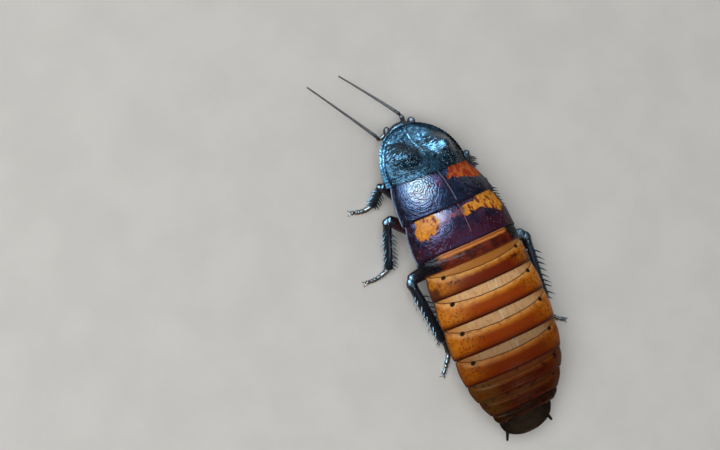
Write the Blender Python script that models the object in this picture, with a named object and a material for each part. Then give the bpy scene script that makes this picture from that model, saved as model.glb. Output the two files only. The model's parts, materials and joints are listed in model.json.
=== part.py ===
"""A Madagascar hissing cockroach at life size, as a still museum-like model.

A wingless male about 67 mm long without its antennae, standing on all six feet with its front
turned a little to its left. Sizes are in millimetres until the last step, which makes metres.
X is the animal's left, Y runs from the head to the tail and Z is up from the floor.
"""
import math
import random

import bmesh
import bpy
from mathutils import Matrix, Vector

MM = 0.001
GAP = 0.3

# The body's stations from head to tail, each at the rear edge of a plate:
# name, distance from the front rim, height of the back, height of the side margin,
# height of the belly, half width, sideways bend and roll in degrees (the thorax leans to its right).
STATIONS = (
    ("front", 0.0, 6.2, 6.2, 4.9, 2.0, 1.9, -6.0),
    ("ridge", 7.1, 10.7, 6.8, 5.4, 8.7, 1.2, -6.0),
    ("pronotum", 10.9, 12.7, 6.9, 5.3, 9.2, 0.9, -5.5),
    ("mesonotum", 18.4, 14.0, 7.6, 5.2, 10.6, 0.0, -3.0),
    ("metanotum", 26.4, 14.5, 8.1, 5.2, 11.1, -0.3, -0.5),
    ("abdomen_1", 29.7, 14.4, 8.1, 4.9, 10.8, -0.5, 0.0),
    ("abdomen_2", 34.9, 14.4, 8.0, 3.3, 11.2, -0.6, 0.0),
    ("abdomen_3", 41.0, 14.0, 8.1, 2.5, 11.6, -0.5, 0.0),
    ("abdomen_4", 47.5, 13.0, 7.7, 2.4, 11.6, -0.4, 0.0),
    ("abdomen_5", 53.4, 11.6, 7.1, 2.5, 10.9, -0.2, 0.0),
    ("abdomen_6", 57.3, 10.0, 6.5, 2.7, 9.6, -0.1, 0.0),
    ("abdomen_7", 60.9, 8.2, 6.0, 2.9, 7.7, 0.1, 0.0),
    ("abdomen_8", 62.9, 6.9, 5.7, 3.1, 6.3, 0.4, 0.0),
    ("tail", 67.2, 5.0, 4.9, 3.7, 1.5, 0.7, 0.0),
)
BACK, MARGIN, BELLY, WIDTH, BEND, ROLL = range(2, 8)
ROLL_AXIS_HEIGHT = 8.0
ARCH_POWER = 1.1
BELLY_POWER = 0.6

# How far the outer rear corners of the two hind thorax plates are drawn out backwards.
CORNER_SWEEP = {"pronotum": 0.0, "mesonotum": 0.8, "metanotum": 1.2}
PLATE_THICKNESS = 1.0
RIM_THICKNESS = 0.4

# Pronotum: a shield whose front is a superellipse, with two blunt horns and a rolled rim.
SHIELD_LENGTH = 10.9
SHIELD_HALF_WIDTH = 9.15
SHIELD_FRONT_RUN = 10.2
SHIELD_ROUNDNESS = 2.05
SHIELD_TURN = math.radians(-3.0)
HORN_SIDE = 4.6
HORN_BACK = 5.9
HORN_RADIUS = 2.2
HORN_HEIGHT = 2.7
FRONT_DENT = 0.9
RIM_ROLL = 0.45
RIM_GROOVE = 0.3

# The solid body under each thorax plate: where it starts and ends along the animal, and how far
# its top lies below the back.
THORAX_RUNS = {
    "prothorax": (2.65, 10.7, 2.3),
    "mesothorax": (11.1, 18.2, 1.75),
    "metathorax": (18.6, 26.2, 1.75),
}

# One abdominal plate along its length: share of the length and height above the body's line.
PLATE_STEPS = ((0.0, -0.6), (0.12, -0.45), (0.42, -0.3), (0.48, 0.0), (0.8, 0.12), (0.94, 0.0), (1.0, -0.3))
NOTUM_STEPS = ((0.0, -0.55), (0.1, -0.3), (0.35, 0.0), (0.65, 0.1), (0.93, 0.0), (1.0, -0.25))
CORNER_POINT = 0.25
TAIL_STEPS = ((0.0, 1.0), (0.25, 0.95), (0.5, 0.84), (0.72, 0.68), (0.88, 0.48), (0.97, 0.27), (1.0, 0.12))
CERCUS_SIDE = 4.0
CERCUS_REACH = (1.3, 2.6, -0.3)
CERCUS_RADII = ((0.0, 0.4), (0.25, 0.55), (0.6, 0.48), (1.0, 0.15))

HEAD_CENTRE = Vector((1.6, 1.3, 3.05))
HEAD_HALF = Vector((3.2, 1.75, 2.5))
HEAD_PITCH = math.radians(52)
EYE_HALF = Vector((0.7, 0.95, 1.2))
EYE_SIDE = 2.95
EYE_UP = 1.3
EYE_FORWARD = 0.35
EYE_TURN = math.radians(18)
# Mouthparts in the head's own frame: place and half sizes.
MOUTHPARTS = {
    "labrum": ((0.0, -0.7, -2.1), (1.1, 0.5, 0.75)),
    "mandible_left": ((0.95, 0.0, -2.1), (0.7, 0.8, 0.8)),
    "mandible_right": ((-0.95, 0.0, -2.1), (0.7, 0.8, 0.8)),
}
PALP_POINTS = ((2.1, 0.75, -1.9), (2.5, 0.3, -2.4), (2.5, -0.7, -2.3), (2.2, -1.3, -2.0))
PALP_RADII = ((0.0, 0.25), (0.1, 0.28), (0.55, 0.26), (0.9, 0.32), (1.0, 0.2))

# Antennae: socket, scape's end, then the flagellum's points out to the tip.
ANTENNAE = {
    "left": ((4.0, -0.35, 1.75), (5.9, 0.8, 2.0), (7.0, -0.4, 3.3), (11.8, -7.2, 4.6), (16.8, -14.4, 5.4)),
    "right": ((-0.6, -0.75, 1.75), (0.1, -1.9, 3.0), (1.6, -3.9, 3.9), (5.6, -8.9, 4.7), (9.8, -14.1, 5.2)),
}
ANTENNA_RADII = (
    (0.0, 0.35), (0.03, 0.62), (0.09, 0.62), (0.12, 0.42), (0.15, 0.48), (0.18, 0.4), (0.22, 0.42),
    (0.94, 0.26), (1.0, 0.14),
)

# Legs: coxa from root to tip, hip, knee, ankle and the foot's points to the claws.
LEGS = {
    "fore_left": (
        ((4.7, 7.6, 4.4), (4.9, 14.1, 3.25)), (5.9, 15.2, 3.2), (10.3, 9.5, 4.9), (12.6, 12.8, 1.15),
        ((14.6, 12.9, 0.42), (17.0, 12.3, 0.42)),
    ),
    "mid_left": (
        ((3.5, 15.4, 4.05), (4.0, 21.5, 3.15)), (5.0, 22.4, 3.2), (12.1, 16.2, 5.6), (14.4, 25.9, 1.15),
        ((17.0, 26.5, 0.42), (19.7, 26.5, 0.42)),
    ),
    "hind_left": (
        ((2.4, 22.5, 4.0), (2.4, 27.7, 3.1)), (3.0, 28.45, 3.1), (12.6, 29.2, 5.5), (9.6, 43.7, 1.2),
        ((9.4, 46.2, 0.44), (10.8, 48.3, 0.44), (12.1, 49.8, 0.44)),
    ),
    "fore_right": (
        ((-3.3, 7.6, 3.75), (-4.2, 14.1, 3.1)), (-5.1, 15.2, 3.2), (-9.2, 10.1, 4.3), (-10.4, 13.6, 1.15),
        ((-10.8, 15.7, 0.42), (-11.5, 17.9, 0.42)),
    ),
    "mid_right": (
        ((-3.6, 15.4, 3.9), (-4.1, 21.4, 3.0)), (-5.4, 22.4, 2.9), (-10.0, 16.4, 5.2), (-12.0, 23.9, 1.15),
        ((-12.4, 26.5, 0.42), (-12.9, 29.1, 0.42)),
    ),
    "hind_right": (
        ((-2.9, 22.5, 3.9), (-3.0, 27.7, 3.1)), (-3.6, 28.4, 3.0), (-13.9, 29.8, 5.5), (-14.0, 44.6, 1.2),
        ((-14.0, 47.0, 0.44), (-15.0, 48.7, 0.44), (-16.6, 49.9, 0.44)),
    ),
}
# Share of the length and radius, from a limb's root to its tip.
COXA_RADII = ((0.0, 0.9), (0.14, 1.6), (0.4, 1.95), (0.72, 1.6), (0.92, 0.95), (1.0, 0.55))
FEMUR_RADII = ((0.0, 0.45), (0.08, 0.8), (0.3, 1.4), (0.6, 1.35), (0.8, 1.2), (0.93, 1.05), (1.0, 0.6))
TIBIA_RADII = ((0.0, 0.55), (0.08, 0.85), (0.3, 0.92), (0.6, 0.84), (0.9, 0.92), (1.0, 0.6))
TARSUS_RADII = (
    (0.0, 0.3), (0.05, 0.42), (0.38, 0.45), (0.43, 0.34), (0.48, 0.43), (0.58, 0.34),
    (0.63, 0.42), (0.71, 0.33), (0.76, 0.36), (0.94, 0.4), (1.0, 0.28),
)
COXA_FLATNESS = 0.56
FEMUR_FLATNESS = 0.8
LIMB_SIZE = {"fore": 0.85, "mid": 1.0, "hind": 1.1}
# Tibial spines: rows round the shin as angles from straight up, and spines in a row.
SPINE_ROWS = {"fore": (70, 180, 290), "mid": (60, 180, 300), "hind": (55, 175, 295)}
SPINES_IN_ROW = {"fore": 3, "mid": 5, "hind": 6}
SPINE_LENGTH = {"fore": 1.1, "mid": 1.5, "hind": 1.9}
SPINE_RADIUS = 0.27
CLAW_LENGTH = 1.0
FLOOR_CLEARANCE = 0.35
SHIN_START = 0.5
ANKLE_OPENING = {"fore": 0.32, "mid": 0.32, "hind": 0.18}

COLOURS = {
    "black_shell": ((0.012, 0.016, 0.026, 1.0), 0.22),
    "purple_shell": ((0.045, 0.012, 0.016, 1.0), 0.2),
    "maroon_plate": ((0.16, 0.03, 0.012, 1.0), 0.25),
    "amber_plate": ((0.50, 0.17, 0.025, 1.0), 0.28),
    "brown_plate": ((0.20, 0.06, 0.018, 1.0), 0.3),
    "dark_plate": ((0.05, 0.018, 0.012, 1.0), 0.3),
    "underside": ((0.10, 0.035, 0.015, 1.0), 0.35),
    "leg": ((0.014, 0.013, 0.015, 1.0), 0.25),
    "foot": ((0.05, 0.03, 0.015, 1.0), 0.4),
    "eye": ((0.02, 0.012, 0.01, 1.0), 0.15),
    "antenna": ((0.03, 0.015, 0.01, 1.0), 0.45),
}


def station(name):
    return next(row for row in STATIONS if row[0] == name)


def measure(column, y):
    """A smooth curve through one column of the stations, read at y."""
    last = len(STATIONS) - 2
    low = max(0, min(last, sum(row[1] <= y for row in STATIONS) - 1))
    start, end = STATIONS[low], STATIONS[low + 1]
    span = end[1] - start[1]

    def slope(index):
        before = STATIONS[max(index - 1, 0)]
        after = STATIONS[min(index + 1, last + 1)]
        return (after[column] - before[column]) / (after[1] - before[1])

    t = min(max((y - start[1]) / span, 0.0), 1.0)
    h00 = (1 + 2 * t) * (1 - t) ** 2
    h10 = t * (1 - t) ** 2
    h01 = t * t * (3 - 2 * t)
    h11 = t * t * (t - 1)
    return h00 * start[column] + h10 * span * slope(low) + h01 * end[column] + h11 * span * slope(low + 1)


def interpolate(pairs, share):
    """Straight-line reading of (share, value) pairs."""
    for (s0, v0), (s1, v1) in zip(pairs, pairs[1:]):
        if share <= s1:
            return v0 + (v1 - v0) * (share - s0) / (s1 - s0)
    return pairs[-1][1]


def smooth_path(points, count):
    """Evenly numbered points on a Catmull-Rom curve through the given points."""
    points = [Vector(p) for p in points]
    ends = [2 * points[0] - points[1]] + points + [2 * points[-1] - points[-2]]
    path = []
    for k in range(count):
        place = k * (len(points) - 1) / (count - 1)
        i = min(int(place), len(points) - 2)
        t = place - i
        a, b, c, d = ends[i : i + 4]
        path.append(
            0.5 * (2 * b + (c - a) * t + (2 * a - 5 * b + 4 * c - d) * t * t + (3 * b - a - 3 * c + d) * t ** 3)
        )
    return path


def roll_matrix(y):
    """The lean of the body's section at y, about a line along the body."""
    axis = Vector((measure(BEND, y), y, ROLL_AXIS_HEIGHT))
    turn = Matrix.Rotation(math.radians(measure(ROLL, y)), 4, "Y")
    return Matrix.Translation(axis) @ turn @ Matrix.Translation(-axis)


def rolled(point, y):
    return roll_matrix(y) @ point


def back_point(y, s, rise):
    """A point of the body's back: s runs from -1 at the right margin to 1 at the left one."""
    angle = s * math.pi / 2
    margin = measure(MARGIN, y)
    x = measure(BEND, y) + (measure(WIDTH, y) + rise) * math.sin(angle)
    z = margin + (measure(BACK, y) - margin + rise) * max(math.cos(angle), 0.0) ** ARCH_POWER
    return rolled(Vector((x, y, z)), y)


def make_object(name, mesh_builder, material):
    mesh = bpy.data.meshes.new(name)
    obj = bpy.data.objects.new(name, mesh)
    bpy.context.scene.collection.objects.link(obj)
    bm = bmesh.new()
    mesh_builder(bm)
    bmesh.ops.recalc_face_normals(bm, faces=bm.faces)
    bm.to_mesh(mesh)
    bm.free()
    obj.data.materials.append(MATERIALS[material])
    return obj


def loft(bm, rings):
    """A closed body through rings of equally many points, with a pole in each end face."""
    loops = [[bm.verts.new(p) for p in ring] for ring in rings]
    count = len(rings[0])
    for low, high in zip(loops, loops[1:]):
        for k in range(count):
            n = (k + 1) % count
            bm.faces.new((low[k], low[n], high[n], high[k]))
    for loop in (loops[0], loops[-1]):
        middle = sum((v.co for v in loop), Vector()) / count
        pole = bm.verts.new(middle)
        for k in range(count):
            bm.faces.new((loop[k], loop[(k + 1) % count], pole))


def sheet_body(bm, top, bottom):
    """A closed plate between two grids of points that have the same rows and columns."""
    upper = [[bm.verts.new(p) for p in row] for row in top]
    lower = [[bm.verts.new(p) for p in row] for row in bottom]
    rows, columns = len(top), len(top[0])
    for grid in (upper, lower):
        for i in range(rows - 1):
            for j in range(columns - 1):
                bm.faces.new((grid[i][j], grid[i][j + 1], grid[i + 1][j + 1], grid[i + 1][j]))
    edge = [(0, j) for j in range(columns)] + [(i, columns - 1) for i in range(1, rows)]
    edge += [(rows - 1, j) for j in range(columns - 2, -1, -1)] + [(i, 0) for i in range(rows - 2, 0, -1)]
    for (i, j), (m, n) in zip(edge, edge[1:] + edge[:1]):
        bm.faces.new((upper[i][j], upper[m][n], lower[m][n], lower[i][j]))


def tube_rings(path, radii, sides, flatness=1.0, turn=0.0):
    """Rings round a path. radii are (share of length, radius) pairs, flatness scales the height."""
    lengths = [0.0]
    for a, b in zip(path, path[1:]):
        lengths.append(lengths[-1] + (b - a).length)
    rings = []
    for k, centre in enumerate(path):
        ahead = path[min(k + 1, len(path) - 1)] - path[max(k - 1, 0)]
        ahead.normalize()
        side = ahead.cross(Vector((0, 0, 1))).normalized()
        up = side.cross(ahead)
        radius = interpolate(radii, lengths[k] / lengths[-1])
        ring = []
        for n in range(sides):
            angle = 2 * math.pi * (n + turn) / sides
            ring.append(centre + side * radius * math.sin(angle) + up * radius * flatness * math.cos(angle))
        rings.append(ring)
    return rings


def straight(start, end, shares):
    start, end = Vector(start), Vector(end)
    return [start.lerp(end, share) for share in shares]


def largest_surface(obj):
    """Leaves only the closed surface that holds the most volume."""
    bm = bmesh.new()
    bm.from_mesh(obj.data)
    bm.verts.ensure_lookup_table()
    seen, groups = set(), []
    for vert in bm.verts:
        if vert in seen:
            continue
        group, queue = set(), [vert]
        while queue:
            current = queue.pop()
            if current in group:
                continue
            group.add(current)
            queue.extend(edge.other_vert(current) for edge in current.link_edges)
        seen |= group
        groups.append(group)

    def volume(group):
        total = 0.0
        for face in {f for v in group for f in v.link_faces}:
            corners = [v.co for v in face.verts]
            for b, c in zip(corners[1:], corners[2:]):
                total += corners[0].dot(b.cross(c))
        return total

    keep = max(groups, key=volume)
    bmesh.ops.delete(bm, geom=[v for v in bm.verts if v not in keep], context="VERTS")
    bm.to_mesh(obj.data)
    bm.free()


def combine(body, others, operation, solver="EXACT"):
    """One Boolean between a body and a collection of closed helpers, applied; the helpers go."""
    helpers = bpy.data.collections.new("helpers")
    bpy.context.scene.collection.children.link(helpers)
    for other in others:
        bpy.context.scene.collection.objects.unlink(other)
        helpers.objects.link(other)
    modifier = body.modifiers.new("combine", "BOOLEAN")
    modifier.operation = operation
    modifier.operand_type = "COLLECTION"
    modifier.collection = helpers
    modifier.solver = solver
    graph = bpy.context.evaluated_depsgraph_get()
    result = bpy.data.meshes.new_from_object(body.evaluated_get(graph))
    body.modifiers.clear()
    body.data = result
    for other in others:
        bpy.data.objects.remove(other)
    bpy.data.collections.remove(helpers)
    largest_surface(body)
    return body


def ellipsoid(name, centre, half, material, across=16, along=10, turn=None):
    """A rounded lump given by its centre and half sizes."""

    def build(bm):
        bmesh.ops.create_uvsphere(bm, u_segments=across, v_segments=along, radius=1.0)
        matrix = Matrix.Diagonal((*half, 1.0))
        if turn is not None:
            matrix = turn @ matrix
        bmesh.ops.transform(bm, matrix=Matrix.Translation(centre) @ matrix, verts=bm.verts)

    return make_object(name, build, material)


def limb(name, path, radii, material, sides=10, flatness=1.0, turn=0.0):
    return make_object(name, lambda bm: loft(bm, tube_rings(path, radii, sides, flatness, turn)), material)


def cone(name, root, direction, length, radius, material):
    """A spine: its root lies inside what it grows from."""

    def build(bm):
        bmesh.ops.create_cone(
            bm, cap_ends=True, cap_tris=True, segments=5, radius1=radius, radius2=0.05, depth=length
        )
        spin = Vector((0, 0, 1)).rotation_difference(direction).to_matrix().to_4x4()
        lift = Matrix.Translation(Vector((0, 0, length / 2)))
        bmesh.ops.transform(bm, matrix=Matrix.Translation(root) @ spin @ lift, verts=bm.verts)

    return make_object(name, build, material)


def shield_half_width(v):
    reach = max(1 - v / SHIELD_FRONT_RUN, 0.0)
    return SHIELD_HALF_WIDTH * (1 - reach ** SHIELD_ROUNDNESS) ** (1 / SHIELD_ROUNDNESS)


def shield_height(u, v, half, with_horns):
    """Height of the shield u from its middle line and v behind its front rim."""
    out = min(abs(u) / half, 1.0)
    front = station("front")[MARGIN]
    side = measure(MARGIN, max(v, 0.0))
    rim = front + (side - front) * min(v / 6.0, 1.0)
    crown = measure(BACK, v)
    height = rim + (crown - rim) * (1 - out * out) ** 0.6
    if not with_horns:
        return height
    for side_sign in (-1, 1):
        away = math.hypot(u - side_sign * HORN_SIDE, v - HORN_BACK) / HORN_RADIUS
        height += HORN_HEIGHT * math.exp(-away ** 2.4)
    height -= FRONT_DENT * math.exp(-((u / 3.6) ** 2 + ((v - 3.4) / 2.0) ** 2))
    edge = min(1 - out, v / 6.0)
    height += RIM_ROLL * math.exp(-(((edge - 0.06) / 0.06) ** 2))
    height -= RIM_GROOVE * math.exp(-(((edge - 0.18) / 0.05) ** 2))
    return height


def build_pronotum():
    rows, columns = 12, 20
    end = SHIELD_LENGTH - GAP / 2
    middle = Vector((measure(BEND, 8.0), 8.0, 0.0))
    spin = Matrix.Translation(middle) @ Matrix.Rotation(SHIELD_TURN, 4, "Z") @ Matrix.Translation(-middle)
    spin = roll_matrix(8.0) @ spin
    top, bottom = [], []
    for i in range(rows + 1):
        v = 0.06 + (end - 0.06) * (i / rows) ** 1.35
        half = shield_half_width(v)
        upper, lower = [], []
        for j in range(columns + 1):
            u = half * math.sin((2 * j / columns - 1) * math.pi / 2)
            x = measure(BEND, v) + u
            high = shield_height(u, v, half, True)
            thick = RIM_THICKNESS * 2 + (PLATE_THICKNESS - RIM_THICKNESS) * (1 - (u / half) ** 2) * min(v / 3, 1)
            low = min(shield_height(u, v, half, False), high) - thick
            upper.append(spin @ Vector((x, v, high)))
            inner = 1 - 0.03 * min(v, 3) / 3
            lower.append(spin @ Vector((measure(BEND, v) + u * inner, v, low)))
        top.append(upper)
        bottom.append(lower)
    return make_object("pronotum", lambda bm: sheet_body(bm, top, bottom), "black_shell")


def swept(y, s, sweep):
    return y + sweep * abs(s) ** 5


def build_notum(name, before, material):
    """One of the two plates behind the shield, which curve back at their outer corners."""
    rows, columns = len(NOTUM_STEPS), 18
    y0, y1 = station(before)[1] + GAP / 2, station(name)[1] - GAP / 2
    top, bottom = [], []
    for share, rise in NOTUM_STEPS:
        upper, lower = [], []
        for j in range(columns + 1):
            s = 2 * j / columns - 1
            sweep = CORNER_SWEEP[before] * (1 - share) + CORNER_SWEEP[name] * share
            y_line = y0 + (y1 - y0) * share
            point = back_point(y_line, s, rise)
            under = back_point(y_line, s, min(rise, 0.0) - RIM_THICKNESS)
            under.z -= RIM_THICKNESS + (PLATE_THICKNESS - 2 * RIM_THICKNESS) * (1 - s * s)
            lead = math.tan(SHIELD_TURN) * point.x * (1 - share) if before == "pronotum" else 0.0
            point.y = under.y = swept(y_line, s, sweep) + lead
            upper.append(point)
            lower.append(under)
        top.append(upper)
        bottom.append(lower)
    return make_object(name, lambda bm: sheet_body(bm, top, bottom), material)


def thorax_ring(y, depth, shrink):
    """A section of the thorax under its plate: an arched top and a shallow keel below."""
    across = min(measure(WIDTH, y) - 2.5, 2.4 + 0.9 * y)
    top = measure(BACK, y) - depth - 0.3 * max(6.0 - y, 0.0)
    side = measure(MARGIN, y) - 0.9
    keel = measure(BELLY, y) - 0.3
    middle = Vector((measure(BEND, y), y, (side + keel) / 2))
    ring = []
    for k in range(20):
        angle = 2 * math.pi * k / 20
        lift = max(top - side, 0.3) if math.cos(angle) > 0 else side - keel
        height = abs(math.cos(angle)) ** (1.1 if math.cos(angle) > 0 else 0.8) * math.copysign(lift, math.cos(angle))
        point = Vector((measure(BEND, y) + across * math.sin(angle), y, side + height))
        ring.append(rolled(middle + (point - middle) * shrink, y))
    return ring


def build_thorax(name):
    y0, y1, depth = THORAX_RUNS[name]
    shares = ((0.0, 0.8), (0.15, 1.0), (0.5, 1.0), (0.85, 1.0), (1.0, 0.85))
    rings = [thorax_ring(y0 + (y1 - y0) * share, depth, shrink) for share, shrink in shares]
    return make_object(name, lambda bm: loft(bm, rings), "underside")


def abdomen_ring(y, rise, corner, sweep):
    """A full section: the plate over the back, its thin side flange and the belly."""
    ring = []
    across, bend, margin = measure(WIDTH, y), measure(BEND, y), measure(MARGIN, y)
    keel = measure(BELLY, y)
    for j in range(17):
        s = j / 8 - 1
        point = back_point(y, s, rise + corner * abs(s) ** 8)
        point.y = swept(y, s, sweep)
        ring.append(point)
    flange = [(across + rise + corner - 0.1, margin - 0.5, sweep), (across - 0.9, margin - 0.8, sweep * 0.6)]
    ring += [Vector((bend + x, y + back, z)) for x, z, back in flange]
    inner, low = across - 1.1, margin - 1.0
    for angle in (68, 45, 22, 0, -22, -45, -68):
        a = math.radians(angle)
        drop = (low - keel) * math.cos(a) ** BELLY_POWER
        ring.append(Vector((bend + inner * math.sin(a), y, low - drop)))
    ring += [Vector((bend - x, y + back, z)) for x, z, back in reversed(flange)]
    return ring


def build_abdomen_plate(name, before, material):
    y0, y1 = station(before)[1] + GAP / 2, station(name)[1] - GAP / 2
    rings = []
    for share, rise in PLATE_STEPS:
        corner = CORNER_POINT * min(share / 0.9, 1.0)
        sweep = CORNER_SWEEP.get(before, -GAP / 2) + GAP / 2
        sweep *= 1 - share
        rings.append(abdomen_ring(y0 + (y1 - y0) * share, rise, corner, sweep))
    return make_object(name, lambda bm: loft(bm, rings), material)


def tail_ring(share, squeeze):
    """A section of the last plate, which closes to a blunt, rounded end."""
    start, end = station("abdomen_8"), station("tail")
    y = start[1] + GAP / 2 + (end[1] - start[1] - GAP / 2) * share
    across = (start[WIDTH] - 0.5) * squeeze
    centre_x = start[BEND] + (end[BEND] - start[BEND]) * share
    top = start[BACK] - 0.5 + (end[BACK] - start[BACK] + 0.5) * share
    low = start[BELLY] + 0.4 + (end[BELLY] - start[BELLY]) * share
    middle = (top + low) / 2 + 0.2
    ring = []
    for k in range(20):
        angle = 2 * math.pi * k / 20
        lift = top - middle if math.cos(angle) > 0 else middle - low
        height = math.copysign(abs(math.cos(angle)) ** 0.9, math.cos(angle)) * lift * min(squeeze * 1.6, 1.0)
        ring.append(Vector((centre_x + across * math.sin(angle), y, middle + height)))
    return ring


def build_tail():
    rings = [tail_ring(share, squeeze) for share, squeeze in TAIL_STEPS]
    return make_object("supra_anal_plate", lambda bm: loft(bm, rings), "dark_plate")


def build_cercus(side, sign):
    """One of the two short feelers under the last plate."""
    start = station("abdomen_8")
    out, back, up = CERCUS_REACH
    root = Vector((start[BEND] + 0.1 + sign * CERCUS_SIDE, start[1] + 1.7, 3.45))
    path = straight(root, root + Vector((sign * out, back, up)), [share for share, _ in CERCUS_RADII])
    return limb("cercus_" + side, path, CERCUS_RADII, "dark_plate", sides=8)


def head_matrix():
    roll = Matrix.Rotation(math.radians(station("front")[ROLL]), 4, "Y")
    return Matrix.Translation(HEAD_CENTRE) @ roll @ Matrix.Rotation(HEAD_PITCH, 4, "X")


def eye_place(sign):
    """An eye's centre in the head's own frame: x across, y from face to nape, z up to the crown."""
    return Vector((sign * EYE_SIDE, -EYE_FORWARD, EYE_UP))


def build_eye(name, sign, grow):
    half = EYE_HALF + Vector((grow, grow, grow))
    turn = head_matrix().to_3x3().to_4x4() @ Matrix.Rotation(-sign * EYE_TURN, 4, "Z")
    return ellipsoid(name, head_matrix() @ eye_place(sign), half, "eye", 14, 9, turn)


def build_head():
    """Head hanging under the shield's front, its face turned forwards and down."""

    def build(bm):
        bmesh.ops.create_uvsphere(bm, u_segments=20, v_segments=12, radius=1.0)
        for vert in bm.verts:
            z = vert.co.z
            narrow = 1 - 0.34 * max(-z, 0) ** 1.3
            vert.co = Vector((vert.co.x * HEAD_HALF.x * narrow, vert.co.y * HEAD_HALF.y, z * HEAD_HALF.z))
        bmesh.ops.transform(bm, matrix=head_matrix(), verts=bm.verts)

    head = make_object("head", build, "black_shell")
    turn = head_matrix().to_3x3().to_4x4()
    mouth = []
    for label, (place, half) in MOUTHPARTS.items():
        mouth.append(ellipsoid(label, head_matrix() @ Vector(place), half, "black_shell", 10, 7, turn))
    combine(head, mouth, "UNION")
    sockets = [build_eye("socket", sign, GAP) for sign in (-1, 1)]
    combine(head, sockets, "DIFFERENCE")
    return head


def build_palp(side, sign):
    """A jaw feeler that hangs beside the mouth."""
    matrix = head_matrix()
    path = smooth_path([matrix @ Vector((sign * x, y, z)) for x, y, z in PALP_POINTS], 8)
    return limb("palp_" + side, path, PALP_RADII, "leg", sides=7)


def build_antenna(side):
    """A stout scape and a long whip that tapers to its tip."""
    return limb("antenna_" + side, smooth_path(ANTENNAE[side], 22), ANTENNA_RADII, "antenna", sides=8)


def shin_spines(name, start, end, kind, seed):
    """Spines in rows along a shin, slanted towards the foot, and a crown of spurs at its end."""
    rng = random.Random(seed)
    along = (end - start).normalized()
    side = along.cross(Vector((0, 0, 1))).normalized()
    up = side.cross(along)
    spines = []

    def grow(share, angle, length):
        out = up * math.cos(angle) + side * math.sin(angle)
        lean = (out + along * 0.75).normalized()
        root = start.lerp(end, share) + out * 0.12
        reach = length + 0.55
        if lean.z < 0:
            reach = min(reach, (root.z - FLOOR_CLEARANCE) / -lean.z)
        if reach > 1.0:
            spines.append(cone(name + "_spine", root, lean, reach, SPINE_RADIUS, "leg"))

    for row, degrees in enumerate(SPINE_ROWS[kind]):
        for k in range(SPINES_IN_ROW[kind]):
            share = 0.24 + 0.62 * (k + 0.33 * row) / SPINES_IN_ROW[kind] + rng.uniform(-0.01, 0.01)
            angle = math.radians(degrees + rng.uniform(-8, 8))
            grow(share, angle, SPINE_LENGTH[kind] * rng.uniform(0.85, 1.1))
    for degrees in (110, 180, 250):
        grow(0.93, math.radians(degrees), SPINE_LENGTH[kind] * 0.75)
    return spines


def thigh_body(name, hip, knee, size, grow):
    """A femur from the hip to the knee, or with grow the space to keep clear round it."""
    thigh = (knee - hip).normalized()
    path = straight(hip + thigh * (0.1 - grow), knee + thigh * grow, [share for share, _ in FEMUR_RADII])
    radii = [(share, radius * size + grow) for share, radius in FEMUR_RADII]
    return limb(name, path, radii, "leg", 10, FEMUR_FLATNESS)


def build_leg(leg, seed):
    kind = leg.split("_")[0]
    size = LIMB_SIZE[kind]
    (coxa_root, coxa_tip), hip, knee, ankle, foot = LEGS[leg]
    hip, knee, ankle = Vector(hip), Vector(knee), Vector(ankle)
    coxa_path = straight(coxa_root, coxa_tip, [share for share, _ in COXA_RADII])
    limb("coxa_" + leg, coxa_path, COXA_RADII, "leg", 12, COXA_FLATNESS)
    thigh_body("femur_" + leg, hip, knee, size, 0.0)

    shin = (ankle - knee).normalized()
    start, end = knee + shin * SHIN_START, ankle - shin * 0.2
    tibia_path = straight(start, end, [share for share, _ in TIBIA_RADII])
    tibia_radii = [(share, radius * size) for share, radius in TIBIA_RADII]
    tibia = limb("tibia_" + leg, tibia_path, tibia_radii, "leg", 9)
    combine(tibia, shin_spines("tibia_" + leg, start, end, kind, seed), "UNION")
    combine(tibia, [thigh_body("knee_space", hip, knee, size, GAP * 1.15)], "DIFFERENCE")

    path = smooth_path([ankle + shin * ANKLE_OPENING[kind]] + [Vector(p) for p in foot], 15)
    tarsus = limb("tarsus_" + leg, path, TARSUS_RADII, "foot", 8, 1.0, 0.5)
    ahead = (path[-1] - path[-3]).normalized()
    claws = []
    for sign in (-1, 1):
        turn = Matrix.Rotation(sign * math.radians(32), 3, "Z")
        root = path[-1] - ahead * 0.25
        claws.append(cone("claw", root, turn @ ahead, CLAW_LENGTH, 0.26, "foot"))
    combine(tarsus, claws, "UNION")
    for vert in tarsus.data.vertices:
        if vert.co.z < 0.06:
            vert.co.z = 0.0


def make_materials():
    found = {}
    for name, (colour, roughness) in COLOURS.items():
        material = bpy.data.materials.new(name)
        material.use_nodes = True
        shader = material.node_tree.nodes["Principled BSDF"]
        shader.inputs["Base Color"].default_value = colour
        shader.inputs["Roughness"].default_value = roughness
        material.diffuse_color = colour
        found[name] = material
    return found


def stand_on_origin():
    """Moves every piece so that the origin is under the middle of the whole, and makes metres."""
    pieces = list(bpy.context.scene.collection.objects)
    corners = [v.co for piece in pieces for v in piece.data.vertices]
    low = Vector([min(c[k] for c in corners) for k in range(3)])
    high = Vector([max(c[k] for c in corners) for k in range(3)])
    origin = Vector(((low.x + high.x) / 2, (low.y + high.y) / 2, low.z))
    place = Matrix.Scale(MM, 4) @ Matrix.Translation(-origin)
    for piece in pieces:
        piece.data.transform(place)
        piece.data.shade_smooth()
        piece.data.set_sharp_from_angle(angle=math.radians(40))


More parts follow.
